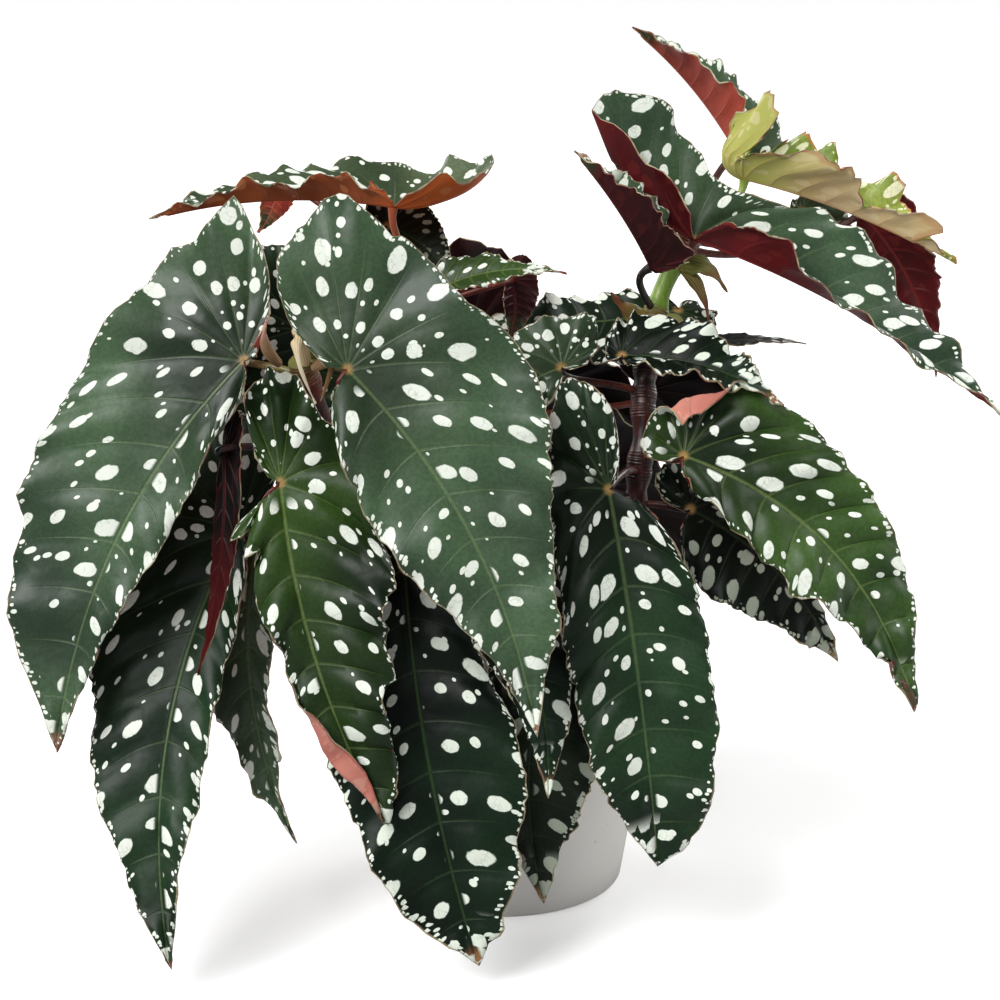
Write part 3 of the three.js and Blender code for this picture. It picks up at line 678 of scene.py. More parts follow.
# %% The leaves
LEAF_DEFAULTS = dict(
    side=1, arch=0.3, lobe_bend=0, fold_big=0.1, fold_small=0.1, curl_big=-0.4, curl_small=-0.4, bow=0.08,
    wide_big=1, wide_small=1, lobe=1, lap=1, skew=0, blunt=0, dent=0, dent_at=0.52, ruffle=2, waves=6, phase=0,
    lift=0.12, top="green", under="red", quilt=1.0, frill=1.0, hills=0.7, teeth=1.0, scallops=0, shape_big=(),
    shape_small=(), rib=0, lobe_stop=9, hem=None,
)
LEAVES = {}


def leaf(name, cane, at, base, tip, face, **form):
    places = dict(cane="cane_" + cane, at=at, base=base, tip=tip, face=face, order=len(LEAVES))
    LEAVES[name] = {**LEAF_DEFAULTS, **places, **form}


# A row that picks the top paint middle, deep, shaded or olive_dark, or the underside maroon, dark or crimson, picks
# painted shade for a leaf deep in the plant.
leaf("left_front", "left", 0.93, (-85, -62, 209), (-149, -88, 80), (-0.25, -0.95, 0.2), side=-1, arch=0.25,
     wide_big=0.86, wide_small=0.5, lobe=0.8, lap=0.8, skew=0.16, blunt=1, phase=1, quilt=1.1, hills=1.8,
     shape_big=((0, -1), (0.5, -5), (1, -10), (1.5, -14), (2, -16), (2.5, -12), (3, -9), (3.5, 1), (4, -6),
                (4.5, -6), (5, -1), (5.5, -1), (6, 1), (6.5, 2), (7.5, 0)),
     hem=dict(big=True, between=(0.2, 1.9), start=1.6, end=1.2, width=4, inside=3.5, radius=0.7, turn=2.7,
     color="brick"))
leaf("centre_front", "left", 0.98, (-49, -92, 213), (12, -118, 97), (0.05, -1, 0.25), arch=0.2, skew=0.12, phase=2,
     quilt=0.9, hills=1.6,
     shape_big=((0.6, 0), (1.6, 4), (2.2, 1), (2.5, -1), (3, 2), (3.4, 2), (4, -3.5), (4.5, -6.5), (5, -3),
                (5.5, -2), (6, -2), (6.5, 2), (7, 3), (8, 2.5), (9, 0)))
leaf("centre_waved", "left", 0.72, (-72, -84, 173), (-37, -104, 60), (0, -1, 0.1), bow=0, wide_big=0.6,
     wide_small=0.9, lobe=0.8, blunt=0.6, ruffle=4.0, waves=8, top="olive_dark", quilt=2.4, frill=1.4, hills=1.6,
     scallops=5, rib=-0.05,
     shape_big=((6, 0), (6.5, 4), (7, 7), (8.6, 6), (9, 0), (9.5, 3), (10, 1), (11, 6), (11.5, -1), (12, 2),
                (12.5, 1), (13, 5), (13.6, 3), (14.5, 1), (15, 0)),
     shape_small=((0, 12), (0.5, 15), (1, 12), (1.5, 2), (2, 2), (2.3, 3), (2.75, -2), (3.4, 3), (4, 0), (4.5, -5),
                (5, -6), (6.5, -5), (7, -3), (7.5, -2), (8.5, 0)),
     hem=dict(big=False, between=(4.6, 9.95), start=0.27, end=6, width=9.5, inside=0, radius=0.8, turn=2.9,
     color="pink"))
leaf("lower_left", "left", 0.45, (-90, -45, 145), (-110, -112, 12), (-0.2, -0.9, 0.4), side=-1, wide_big=0.72,
     wide_small=0.55, lobe=0.9, blunt=0.6, phase=3, top="middle", quilt=1.5, frill=1.2, hills=1.2)
leaf("red_sliver", "left", 0.62, (-92, -66, 178), (-101, -84, 106), (0.6, 0.8, 0), side=-1, arch=-0.2,
     wide_big=0.28, wide_small=0.35, lobe=0.5, ruffle=0.2, top="deep", under="crimson", quilt=0.2, frill=0.15,
     hills=0.3)
leaf("behind_lower_left", "left", 0.35, (-83, -34, 144), (-71, -62, 36), (-0.3, -0.9, 0.3), side=-1, wide_big=0.6,
     wide_small=0.4, lobe=0.5, phase=1, under="dark")
leaf("bottom_centre", "middle", 0.25, (-32, -70, 139), (-7, -106, 10), (0, -0.9, 0.35), side=-1, bow=0.03,
     wide_big=0.7, wide_small=0.95, lobe=0.6, blunt=1.7, phase=2, top="deep", under="dark", quilt=1.5, frill=1.2,
     hills=1.2)
leaf("behind_bottom", "right", 0.12, (20, -66, 119), (15, -86, 24), (0.1, -0.9, 0.1), side=-1, wide_big=0.6,
     wide_small=1.2, blunt=0.6, top="shaded", under="dark")
leaf("behind_centre", "middle", 0.4, (-15, -72, 164), (16, -102, 69), (0.2, -0.9, 0.1), wide_big=0.8, top="deep",
     under="dark")
leaf("right_centre", "right", 0.3, (36, -78, 169), (53, -98, 43), (0.05, -1, 0.1), side=-1, bow=-0.01, wide_big=0.5,
     wide_small=0.88, lobe=0.75, blunt=2.2, ruffle=2.5, phase=2, top="middle", under="dark", quilt=1.8, frill=1.2,
     hills=1.2,
     shape_small=((3.5, 0), (5, -2), (6.5, 0), (8, 1), (9, 4), (9.6, 5), (9.9, 1.5), (10, 0)))
leaf("right", "right", 0.33, (62, -54, 174), (141, -73, 89), (0.2, -0.85, 0.5), bow=0.13, wide_big=0.85,
     wide_small=0.9, lobe=0.4, blunt=0.5, ruffle=2.5, top="olive", quilt=2.8, frill=1.4, hills=1.4, scallops=1.2,
     shape_big=((8, 0), (9, -4), (10, -4), (11, -2), (12, 0)),
     hem=dict(big=True, between=(1.9, 6.3), start=0.7, end=0.6, width=10.5, inside=6.5, radius=0.8, turn=2.8,
     color="pink"))
leaf("behind_right", "right", 0.22, (66, -36, 150), (119, -36, 94), (0.2, -0.9, 0.3), wide_big=0.6, wide_small=1.6,
     lobe=0.6, phase=4, top="shaded", under="dark")
leaf("cupped_right", "right", 0.62, (42, -25, 202), (96, -48, 190), (0, -0.5, 0.87), lobe_bend=1, fold_big=0.35,
     fold_small=0.35, wide_big=0.9, lobe=0.35, phase=2, top="deep", under="dark")
leaf("round_lobe", "right", 0.45, (21, -34, 200), (-20, -56, 170), (-0.1, -0.9, 0.5), side=-1, phase=3,
     under="dark")
leaf("small_behind_top", "right", 0.42, (64, 18, 209), (-7, 17, 205), (0, -0.6, 0.8), wide_big=0.85, wide_small=0.9,
     lobe=0.5, blunt=0.8, top="middle", under="dark")
leaf("narrow_point", "right", 0.5, (69, 22, 194), (112, 30, 194), (0, -0.1, 1), wide_big=0.5, lobe=0.5, ruffle=0.3,
     top="plain", quilt=0.2, frill=0.2, hills=0.2)
leaf("top_left", "middle", 0.98, (-37, -8, 251), (-120, -22, 249), (0, 0.2, 1), side=-1, arch=0.45, lobe_bend=2.2,
     fold_big=0.55, fold_small=0.75, curl_big=0, curl_small=0, wide_small=0.8, lobe=1.5, lap=1.8, top="copper",
     under="copper",
     shape_big=((1, 0), (1.6, -6), (2.4, -8), (3, -4), (3.6, -6), (4.2, -3), (5, 0)))
leaf("behind_nodes", "middle", 0.72, (-69, -27, 212), (-66, -30, 158), (0, -0.9, 0.2), side=-1, wide_big=1.6,
     wide_small=1.9, lobe=1.4, phase=2, top="middle", under="dark")
leaf("red_behind_left", "middle", 0.86, (-80, 42, 252), (-88, 34, 234), (0, 0.9, 0.4), side=-1, wide_small=1.5,
     lobe=0.5, under="brick", frill=0.2, teeth=0.3, quilt=0.3, ruffle=0.4)
leaf("small_dark", "middle", 0.9, (-40, 16, 240), (-16, 0, 222), (0.1, -0.9, 0.4), wide_big=1.2, wide_small=1.2,
     ruffle=0.6, top="shaded", under="dark", frill=0.4, teeth=0.5, quilt=0.5)
leaf("middle_green", "middle", 0.82, (-21, -22, 225), (23, -26, 231), (0, -0.6, 0.8), wide_big=0.8, blunt=-0.7,
     ruffle=1, top="olive")
leaf("middle_red", "middle", 0.8, (4, 8, 222), (3, 2, 200), (0, 0.9, 0.3), side=-1, wide_big=1.2, ruffle=0.5,
     top="middle", under="maroon", frill=0.3, teeth=0.5, quilt=0.5)
leaf("top_maroon", "right", 0.62, (52, -20, 232), (25, -24, 273), (0.8, 0, 0.6), fold_big=1.05, fold_small=1.05,
     curl_big=0, curl_small=0, wide_small=1.6, lobe=0.15, ruffle=1, under="maroon", frill=0.4, quilt=0.6)
leaf("top_long", "right", 0.84, (67, -16, 241), (174, -38, 182), (0.45, -0.1, 0.87), lobe_bend=2.2, fold_big=1.2,
     fold_big_tip=0.7, fold_small=1.2, fold_small_tip=0.1, curl_big=0, curl_small=0.3, bow=0.04, wide_big=0.88,
     wide_small=0.8, lobe=1.35, lap=1.7, blunt=-0.35, dent=0.5, dent_at=0.53, phase=1, quilt=1.2)
leaf("top_high", "right", 0.9, (87, 52, 260), (48, 60, 305), (0.75, -0.12, 0.66), lift=-0.2, side=-1, lobe_bend=2,
     fold_big=0.9, fold_small=0.8, curl_big=0, curl_small=0, wide_small=1.7, lobe=2, ruffle=1, under="brick")
leaf("top_back", "right", 0.88, (132, 42, 240), (160, 30, 181), (0.5, 0.8, 0.3), lift=-0.15, side=-1, wide_big=0.8,
     lobe=0.2, ruffle=1)
leaf("top_behind", "right", 0.93, (110, 40, 241), (133, 34, 225), (0.2, -0.8, 0.6), lift=-0.15, lobe=0.5, ruffle=1)
leaf("young", "right", 1, (88, 32, 254), (162, 10, 227), (0.1, -0.1, 1), side=-1, arch=0.5, lobe_bend=9,
     fold_big=1.02, fold_small=1.14, curl_big=0, curl_small=0, wide_big=0.65, wide_small=1.2, lobe=1.2, ruffle=2.5,
     waves=9, top="young", under="young", quilt=1.3, frill=2.4, hills=0.7, scallops=3, teeth=2.4, lobe_stop=1.75)
leaf("back_left", "back", 0.8, (-12, 76, 187), (-56, 108, 86), (-0.3, 0.95, 0.2), wide_small=1.4, phase=1,
     under="maroon")
leaf("back_centre", "back", 0.98, (18, 80, 166), (26, 116, 74), (0.15, 1, 0.2), side=-1, lobe=0.7, phase=2,
     under="dark")
leaf("back_right", "back", 0.6, (58, 66, 168), (96, 88, 80), (0.5, 0.9, 0.2), side=-1, wide_big=0.9, phase=3,
     under="dark")
leaf("back_low_left", "back", 0.35, (-52, 48, 140), (-78, 86, 42), (-0.6, 0.8, 0.2), wide_big=0.8, phase=4,
     top="shaded", under="dark")
leaf("back_low_right", "back", 0.25, (40, 74, 128), (62, 98, 32), (0.4, 0.9, 0.1), side=-1, wide_big=0.8, phase=5,
     top="shaded", under="dark")
leaf("side_left", "middle", 0.6, (-78, 10, 186), (-118, -2, 96), (-0.9, 0.4, 0.3), side=-1, wide_big=0.8, phase=2,
     under="maroon")
lengths = [axes_of(form)[4] for form in LEAVES.values()]
print(len(LEAVES), "leaves, blades from", round(min(lengths)), "to", round(max(lengths)), "mm from stalk to tip")

# %% [markdown]
# ## Short words for meshes
#
# Numpy works out where the corners of a mesh go, and Blender's own operators add, join, clean and thicken it.

# %% Helpers that shape a mesh
def read_places(mesh):
    places = np.empty(len(mesh.vertices) * 3)
    mesh.vertices.foreach_get("co", places)
    return places.reshape(-1, 3)


def set_map(mesh, name, values):
    """A UV map of two numbers for each corner."""
    layer = mesh.uv_layers.get(name) or mesh.uv_layers.new(name=name)
    corners = np.empty(len(mesh.loops), int)
    mesh.loops.foreach_get("vertex_index", corners)
    layer.data.foreach_set("uv", np.asarray(values, np.float32)[corners].ravel())


def set_numbers(mesh, name, values):
    """An attribute of three numbers for each corner."""
    data = mesh.attributes.new(name, "FLOAT_VECTOR", "POINT").data
    data.foreach_set("vector", np.asarray(values, np.float32).ravel())


def add_grid(name, across, along):
    """A flat grid, and where its corners are as shares of its two sides."""
    bpy.ops.mesh.primitive_grid_add(x_subdivisions=across, y_subdivisions=along, size=1, calc_uvs=False)
    grid = bpy.context.object
    grid.name = name
    return grid, (read_places(grid.data)[:, :2] + 0.5).T


def clean_up(merge=None):
    """Merges corners closer than so many metres and turns all faces outwards."""
    bpy.ops.object.mode_set(mode="EDIT")
    bpy.ops.mesh.select_all(action="SELECT")
    if merge:
        bpy.ops.mesh.remove_doubles(threshold=merge)
    bpy.ops.mesh.normals_make_consistent(inside=False)
    bpy.ops.object.mode_set(mode="OBJECT")


def thicken(piece, millimetres, **settings):
    solid = piece.modifiers.new("thickness", "SOLIDIFY")
    solid.thickness = millimetres * MM
    for name, value in settings.items():
        setattr(solid, name, value)
    bpy.ops.object.modifier_apply(modifier=solid.name)


def smooth_below(degrees):
    bpy.ops.object.shade_smooth_by_angle(angle=math.radians(degrees))


def join_all(pieces, name):
    bpy.ops.object.select_all(action="DESELECT")
    for piece in pieces:
        piece.select_set(True)
    bpy.context.view_layer.objects.active = pieces[0]
    if len(pieces) > 1:
        bpy.ops.object.join()
    bpy.context.object.name = name
    bpy.context.object.data.name = name
    return bpy.context.object


print("maps that a blade carries: Veins, Margin, Cell; numbers: reach, hem")

# %% [markdown]
# ## A margin that folds over
#
# Here and there a margin has folded forward over the blade, and the pink underside shows as a bright hem. The sheet
# is first made wider there, so that the fold lies near the solid blade's edge or a little inside it. Every ray past
# the fold runs round a small arc and then back over the blade's own top. Near a fold the margin has few teeth.

# %% Folding a margin over
SHORT_RAY = 6
LEAST_FOLD = 0.02


def fold_share(count, hem):
    """How far the margin is folded over at each ray: 0 not at all, 1 whole, with a soft start and end."""
    first, last = hem["between"]
    return soft_step(np.clip((count - first) * hem["start"], 0, 1) * np.clip((last - count) * hem["end"], 0, 1))


def hem_of(leaf, big, count, reach):
    """The fold at each ray: its share and width, how much wider the sheet becomes, and how calm the edge is."""
    hem = leaf["hem"]
    if not hem or hem["big"] != big:
        return None, 0 * count, 0 * count, 0 * count, 1
    folded = fold_share(count, hem)
    width = hem["width"] * folded * np.clip(reach / SHORT_RAY, 0, 1)
    first, last = hem["between"]
    near = np.clip((count - first + 0.6) * 2, 0, 1) * np.clip((last - count + 0.6) * 2, 0, 1)
    return hem, folded, width, width - hem["inside"] * folded, 1 - 0.9 * near


def fold_margin(places, normal, width, share, hem):
    folded = places.copy()
    for ray in np.flatnonzero(share > LEAST_FOLD):
        line = places[ray]
        run = run_along(line)
        start = run[-1] - width[ray]
        here, ahead, rise = (np.array([np.interp(at, run, values[:, k]) for k in range(3)])
                             for values, at in ((line, start), (line, start + 0.5), (normal[ray], start)))
        direction, rise = unit(ahead - here), unit(rise)
        past = np.maximum(run - start, 0)
        angle = np.minimum(past / hem["radius"], hem["turn"] * share[ray])
        rest = past - angle * hem["radius"]
        forward = hem["radius"] * np.sin(angle) + rest * np.cos(angle)
        above = hem["radius"] * (1 - np.cos(angle)) + rest * np.sin(angle)
        moved = here + direction * forward[:, None] + rise * above[:, None]
        folded[ray] = np.where((past > 0)[:, None], moved, line)
    return folded


print("leaves with a folded margin:", [name for name, form in LEAVES.items() if form["hem"]])

# %% [markdown]
# ## Laying a grid on a blade
#
# Half a blade starts as a flat grid. Its columns become rays and its rows become rings from the midrib to the edge.
# Some leaves have a shape of their own, so their rays are made longer or shorter there. Then the edge gets teeth,
# and on the most ruffled leaves scallops.

# %% Rays, rings and teeth
COLUMNS_PER_GAP = 6
RINGS = 21
OUT = 1 - (1 - np.arange(RINGS + 1) / RINGS) ** 1.35
TOOTH = 1.6
SCALLOP = 1.5
RAGGED = ((4, 0.9), (11, 1.2))
WAVES_PER_GAP = 0.83
VEIN_SWEEP = 0.025


def rays_of(leaf, big):
    """Each ray's vein count, its share of the edge, its foot on the midrib and its end, as shares of the length."""
    lobe_veins = LOBE_VEINS[big]
    count = np.arange((lobe_veins + RIB_VEINS) * COLUMNS_PER_GAP + 1) / COLUMNS_PER_GAP
    station = np.clip((count - lobe_veins) / RIB_VEINS, 0, 1)
    share = np.where(count < lobe_veins, edge_share(big, 0.0) * count / lobe_veins, edge_share(big, station))
    share[-1] = 1.0
    foot = np.stack([station, rib_at(leaf, station)], -1)
    ray = np.stack(outline(leaf, big, share), -1) - foot
    own_shape = leaf["shape_" + part_of(big)]
    if own_shape:
        length = axes_of(leaf)[4]
        grown = np.interp(count, *zip(*own_shape), left=0, right=0) / length
        ray *= 1 + (grown / np.maximum(np.hypot(*ray.T), 4 / length))[:, None]
    return count, share, foot, ray


def ragged_edge(leaf, big, count, rng):
    """How many millimetres the teeth add to each ray, and the scallops take away."""
    columns = len(count) - 1
    teeth = TOOTH * rng.uniform(-0.4, 0.4, columns + 1)
    for spacing, depth in RAGGED:
        steps = rng.uniform(-1, 1, columns // spacing + 3)
        ragged = np.interp(np.arange(columns + 1), spacing * np.arange(len(steps)), steps)
        teeth += SCALLOP * depth * leaf["frill"] * ragged
    dips = 1 - np.abs(np.sin(np.pi * (WAVES_PER_GAP * count + 0.25 * np.sin(2.1 * count) + leaf["phase"])))
    return teeth * leaf["teeth"], leaf["scallops"] * (0.6 if big else 1) * dips**1.3


print("rings of a blade, as shares of the way out:", OUT.round(2)[::7])

# %% [markdown]
# ## Waves and quilting
#
# The edge waves in long swells and in short ones, and the whole blade has low hills. Between two veins it swells
# like a quilt. Along with its place each corner gets its numbers for the spot maps. Every half blade starts its
# counts at another number, so that no two have the same spots.

# %% One half of a blade
SMALL_WAVE_SHARE = 0.8
HILL_LENGTHS = (17, 19)
BLADES_APART = 20
HALVES_APART = 6000


def lift_of(leaf, big, count, share, folded, p, q, rng):
    """How far each place is lifted off the plain blade, in mm."""
    length = axes_of(leaf)[4]
    phase, waves = leaf["phase"], leaf["waves"] * (1 if big else SMALL_HALF_WAVES)
    envelope = np.sqrt(np.abs(np.sin(np.pi * share))) * (1 - 0.9 * folded)
    swell = np.sin(waves * 2 * np.pi * share + phase)
    short = np.sin(2 * np.pi * (WAVES_PER_GAP * count) + phase * 2.0 + rng.uniform(0, 6))
    hills = (np.sin((p * 2.3 + q * 1.1) * length / HILL_LENGTHS[0] + phase)
             * np.sin((q * 2.1 - p * 0.9) * length / HILL_LENGTHS[1] + leaf["order"]))
    return (leaf["ruffle"] * OUT**3 * (swell * envelope)[:, None]
            + SMALL_WAVE_SHARE * leaf["ruffle"] * OUT**6 * (short * envelope)[:, None]
            + leaf["hills"] * hills * np.clip(OUT, 0, 0.5) * 2)


def turn_between(first, second):
    """The area that two flat directions span: 0 where they are parallel."""
    return np.abs(first[..., 0] * second[..., 1] - first[..., 1] * second[..., 0])


def half_blade(name, leaf, big, rng):
    length = axes_of(leaf)[4]
    count, share, foot, ray = rays_of(leaf, big)
    half, (across, along) = add_grid(name, len(count) - 1, RINGS)
    reach = np.hypot(*ray.T) * length
    hem, folded, fold_width, added, calm = hem_of(leaf, big, count, reach)
    settled = np.clip(np.sin(np.pi * share) * 3, 0, 1) * calm
    teeth, scallops = (depth * settled for depth in ragged_edge(leaf, big, count, rng))
    toothed = np.where(reach > SHORT_RAY, teeth / np.maximum(reach, SHORT_RAY), 0)
    stretch = 1 + toothed[:, None] * OUT**6 - (scallops / np.maximum(reach, 8))[:, None] * OUT**3
    stretch *= 1 + (added / np.maximum(reach, SHORT_RAY))[:, None]
    flat = foot[:, None] + (OUT * stretch)[..., None] * ray[:, None]
    sweep = np.clip(count - LOBE_VEINS[big] + 2, 0, 2) / 2 * (1 - foot[:, 0])
    flat[..., 0] -= VEIN_SWEEP * sweep[:, None] * (4 * OUT * (1 - OUT))
    p, q = flat[..., 0], flat[..., 1]
    places = bent(leaf, p, q, lift_of(leaf, big, count, share, folded, p, q, rng))

    flat_mm = flat * length
    ray_way = unit(ray)
    gap = turn_between(np.gradient(flat_mm, 1 / COLUMNS_PER_GAP, axis=0), ray_way[:, None])
    edge = flat_mm[:, -1]
    lean = np.clip(turn_between(ray_way, unit(np.gradient(edge, axis=0))), 0.25, 1)
    inwards = (1 - OUT) * (reach * lean)[:, None]

    normal = np.cross(np.gradient(places, axis=0), np.gradient(places, axis=1))
    spread = np.linalg.norm(normal, axis=-1, keepdims=True) > 1e-6
    normal = unit(normal, 1e-9) * (1 if big == (leaf["side"] > 0) else -1)
    bulge = np.abs(np.sin(np.pi * count))[:, None] ** 0.8 * np.sin(np.pi * OUT**1.3) ** 0.7
    bulge *= np.clip(gap / 12, 0, 1) * (1 - 0.8 * folded[:, None] * OUT)
    places = places + normal * (leaf["quilt"] * bulge)[..., None] * spread
    if hem:
        places = fold_margin(places, normal, fold_width, folded, hem)

    column, ring = np.rint(across * (len(count) - 1)).astype(int), np.rint(along * RINGS).astype(int)

    def at_corners(*values):
        return np.stack(np.broadcast_arrays(*values), -1)[column, ring]

    mesh, order = half.data, leaf["order"]
    mesh.vertices.foreach_set("co", (places[column, ring] * MM).ravel())
    first = BLADES_APART * order + (0 if big else HALVES_APART)
    set_map(mesh, "Veins", at_corners(count[:, None] + first, OUT * reach[:, None] / 10 + 7 * order))
    set_map(mesh, "Margin", at_corners(run_along(edge)[:, None] / 10 + first, inwards / 10))
    set_map(mesh, "Cell", at_corners(gap / 10, OUT))
    from_rib = np.where(p > 0, np.abs(q - rib_at(leaf, p)), np.hypot(p, q))
    set_numbers(mesh, "reach", at_corners(from_rib, np.hypot(1 - p, q), np.hypot(p, q)) * length / 10)
    past_fold = np.clip((fold_width[:, None] - (1 - OUT) * (reach + added)[:, None]) * 4, 0, 1)
    set_numbers(mesh, "hem", at_corners(past_fold, 0, 0))
    return half


print("corners across a half:", RINGS + 1)

# %% [markdown]
# ## The finished blades
#
# The two halves are joined and their shared midrib is merged. A Solidify modifier then gives the sheet its half
# millimetre: the sheet stays as the top face, the lower face gets the red material and the edge one of its own. What
# has folded over shows the underside's colour. Each blade takes the place of its plain solid.

# %% Making every blade
UNDER, RIM, HEM = 1, 2, 3


def make_blade(name, leaf):
    rng = np.random.default_rng(100 + leaf["order"])
    halves = [half_blade(f"{name}_{part_of(big)}", leaf, big, rng) for big in (True, False)]
    blade = join_all(halves, "blade_" + name)
    clean_up(merge=2e-6)
    mesh = blade.data
    face = Vector(leaf["face"])
    if sum(polygon.normal.dot(face) * polygon.area for polygon in mesh.polygons) < 0:
        mesh.flip_normals()
    mesh.materials.clear()
    for skin in (top_faces[leaf["top"]], under_faces[leaf["under"]], rim_face):
        mesh.materials.append(skin)
    thicken(blade, BLADE_THICKNESS, offset=-1, material_offset=UNDER, material_offset_rim=RIM)
    if leaf["hem"]:
        mesh.materials.append(under_faces[leaf["hem"]["color"]])
        folded = np.empty(len(mesh.vertices) * 3)
        mesh.attributes["hem"].data.foreach_get("vector", folded)
        folded = folded[::3]
        for polygon in mesh.polygons:
            if polygon.material_index == UNDER and folded[list(polygon.vertices)].mean() > 0.5:
                polygon.material_index = HEM
    smooth_below(50)
    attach(blade, "root")
    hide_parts("leaf_" + name)
    return blade


blades = {name: make_blade(name, form) for name, form in LEAVES.items()}
triangles = sum(len(polygon.vertices) - 2 for blade in blades.values() for polygon in blade.data.polygons)
print(len(blades), "blades,", triangles, "triangles")

# %% [markdown]
# ## The skin of canes and stalks
#
# A young length of cane is bright green, an older one red-brown, and the node between them darker. Stalks run from
# pale green through olive to maroon, and the tints near 1 go on to near black, which is painted shade for canes and
# stalks deep inside the plant. One skin serves them all: each point of a stem carries its distance from the nearest
# node and a tint from 0 to 1 that picks its colour.

# %% The stem skin
# The last tint, near black, is painted shade.
STEM_TINTS = (
    (0.00, (186, 196, 112)), (0.25, (112, 148, 46)), (0.50, (104, 104, 50)), (0.75, (116, 46, 34)),
    (1.00, (13, 6, 6)),
)
COPPER_TINTS = (0.0, (206, 140, 84)), (0.5, (188, 104, 58)), (1.0, (140, 58, 34))


def make_stem_skin(name, tints):
    material, tree, surface = new_material(name)
    from_node, tint, _ = own_numbers(tree, "stem")
    body = object_place(tree)
    streaks = noise(calc_vector("MULTIPLY", body, (1, 1, 0.12)), 620.0, 3.0)
    picked = calc("ADD", tint, streaks * 0.30 - 0.15, clamp=True)
    ramp = add_node("ShaderNodeValToRGB", [(0, picked)])[0]
    elements = ramp.node.color_ramp.elements
    for index, (place, color) in enumerate(tints):
        element = elements[index] if index < 2 else elements.new(place)
        element.position, element.color = place, paint(*color)
    scar = ease(from_node, 0.34, 0.12) * 0.55
    color = blend(scar * ease(tint, 1.0, 0.8), Value(ramp), paint(92, 40, 28))
    distance, _, luck = cells(body, 520.0)
    pore = ease(distance, 0.30, 0.16) * (luck[0] > 0.6)
    color = blend(pore * (tint * -0.28 + 0.34), color, paint(206, 190, 140))
    height = streaks * 0.5 + scar * calc("SINE", from_node * 55.0)
    set_surface(surface, color, streaks * 0.2 + 0.32, height, depth=0.0004)
    return material


stem_skin = make_stem_skin("stem_skin", STEM_TINTS)
copper_skin = make_stem_skin("stem_copper", COPPER_TINTS)
print("stem tints:", len(STEM_TINTS))

# %% [markdown]
# ## Canes and stalks
#
# A stem is a round bar along a path. In Blender that is a curve with a bevel: a path primitive is given the points,
# each with its own radius, and is turned to a mesh. The canes swell at each node. A stalk leaves its node, bends over
# and meets the blade square on, thicker at both ends. A cane's tints change with its height in millimetres.

# %% Round bars along a path
CANES = {
    "cane_left": ((-24, -12, 101), (-40, -30, 140), (-56, -50, 176), (-66, -66, 210)),
    "cane_middle": ((-8, 10, 101), (-16, 6, 150), (-26, 2, 195), (-32, -2, 232)),
    "cane_right": (
        (24, -6, 101), (44, -26, 140), (49, -26, 166), (51, -14, 195), (56, -5, 218), (63, 0, 232), (70, 12, 241),
    ),
    "cane_back": ((8, 28, 101), (10, 40, 136), (10, 50, 166), (6, 54, 190)),
}
CANE_RADIUS = 3.6
CANE_TAPER = 0.5
NODE_SWELLING = 1.5
NODE_REACH = 4.5
STALK_RADIUS = 1.6
THIN_STALKS = ("middle_red", "small_dark", "red_behind_left")
# Tints near 1 give near black, which is painted shade on the canes and stalks inside the plant.
CANE_TINTS = {
    "cane_left": ((101, 0.7), (120, 0.95), (195, 0.92), (210, 0.5)),
    "cane_middle": ((101, 0.7), (120, 0.95), (232, 0.9)),
    "cane_right": ((101, 0.7), (120, 0.95), (200, 0.97), (208, 0.75), (213, 0.42), (217, 0.22), (228, 0.24),
                   (233, 0.72), (245, 0.78)),
    "cane_back": ((101, 0.7), (120, 0.8), (190, 0.75)),
}
STALK_TINTS = {
    "top_maroon": 1.0, "top_long": 0.80, "top_high": 0.85, "top_back": 0.8, "top_behind": 0.8, "young": 0.06,
    "right": 0.62, "right_centre": 0.84, "cupped_right": 0.9, "round_lobe": 0.88, "behind_right": 0.86,
    "left_front": 0.5, "centre_front": 0.5, "centre_waved": 0.95, "lower_left": 0.92, "behind_lower_left": 0.92,
    "bottom_centre": 0.9, "red_sliver": 0.95, "behind_centre": 0.9,
}
OTHER_STALKS = 0.72


def route_at(name, share):
    """Where the cane's middle line is at shares 0 to 1."""
    return through_points(CANES[name], np.atleast_1d(share), straight_ends=True)


def nearest_point(points, place):
    """The number of the point nearest to the place."""
    return np.linalg.norm(points - place, axis=-1).argmin()


def round_bar(name, points, radii, tints, nodes, sides):
    """A bar through the points, in mm; sides is the bevel's resolution, and nodes are the places of its nodes."""
    bpy.ops.curve.primitive_nurbs_path_add(location=(0, 0, 0))
    bar = bpy.context.object
    bar.name = name
    spline = bar.data.splines[0]
    spline.type = "POLY"
    spline.points.add(len(points) - len(spline.points))
    spline.points.foreach_set("co", np.column_stack([points * MM, np.ones(len(points))]).ravel())
    spline.points.foreach_set("radius", np.asarray(radii, float))
    bar.data.bevel_depth = MM
    bar.data.bevel_resolution = sides
    bar.data.use_fill_caps = True
    bpy.ops.object.convert(target="MESH")
    places = read_places(bar.data) / MM
    nearest = np.linalg.norm(places[:, None] - points[None], axis=-1).argmin(axis=1)
    run = run_along(points)
    from_node = np.min([abs(run - run[nearest_point(points, node)]) for node in nodes], axis=0)
    set_numbers(bar.data, "stem", np.column_stack([from_node / 10, tints, 0 * run])[nearest])
    bpy.ops.object.shade_smooth()
    return bar


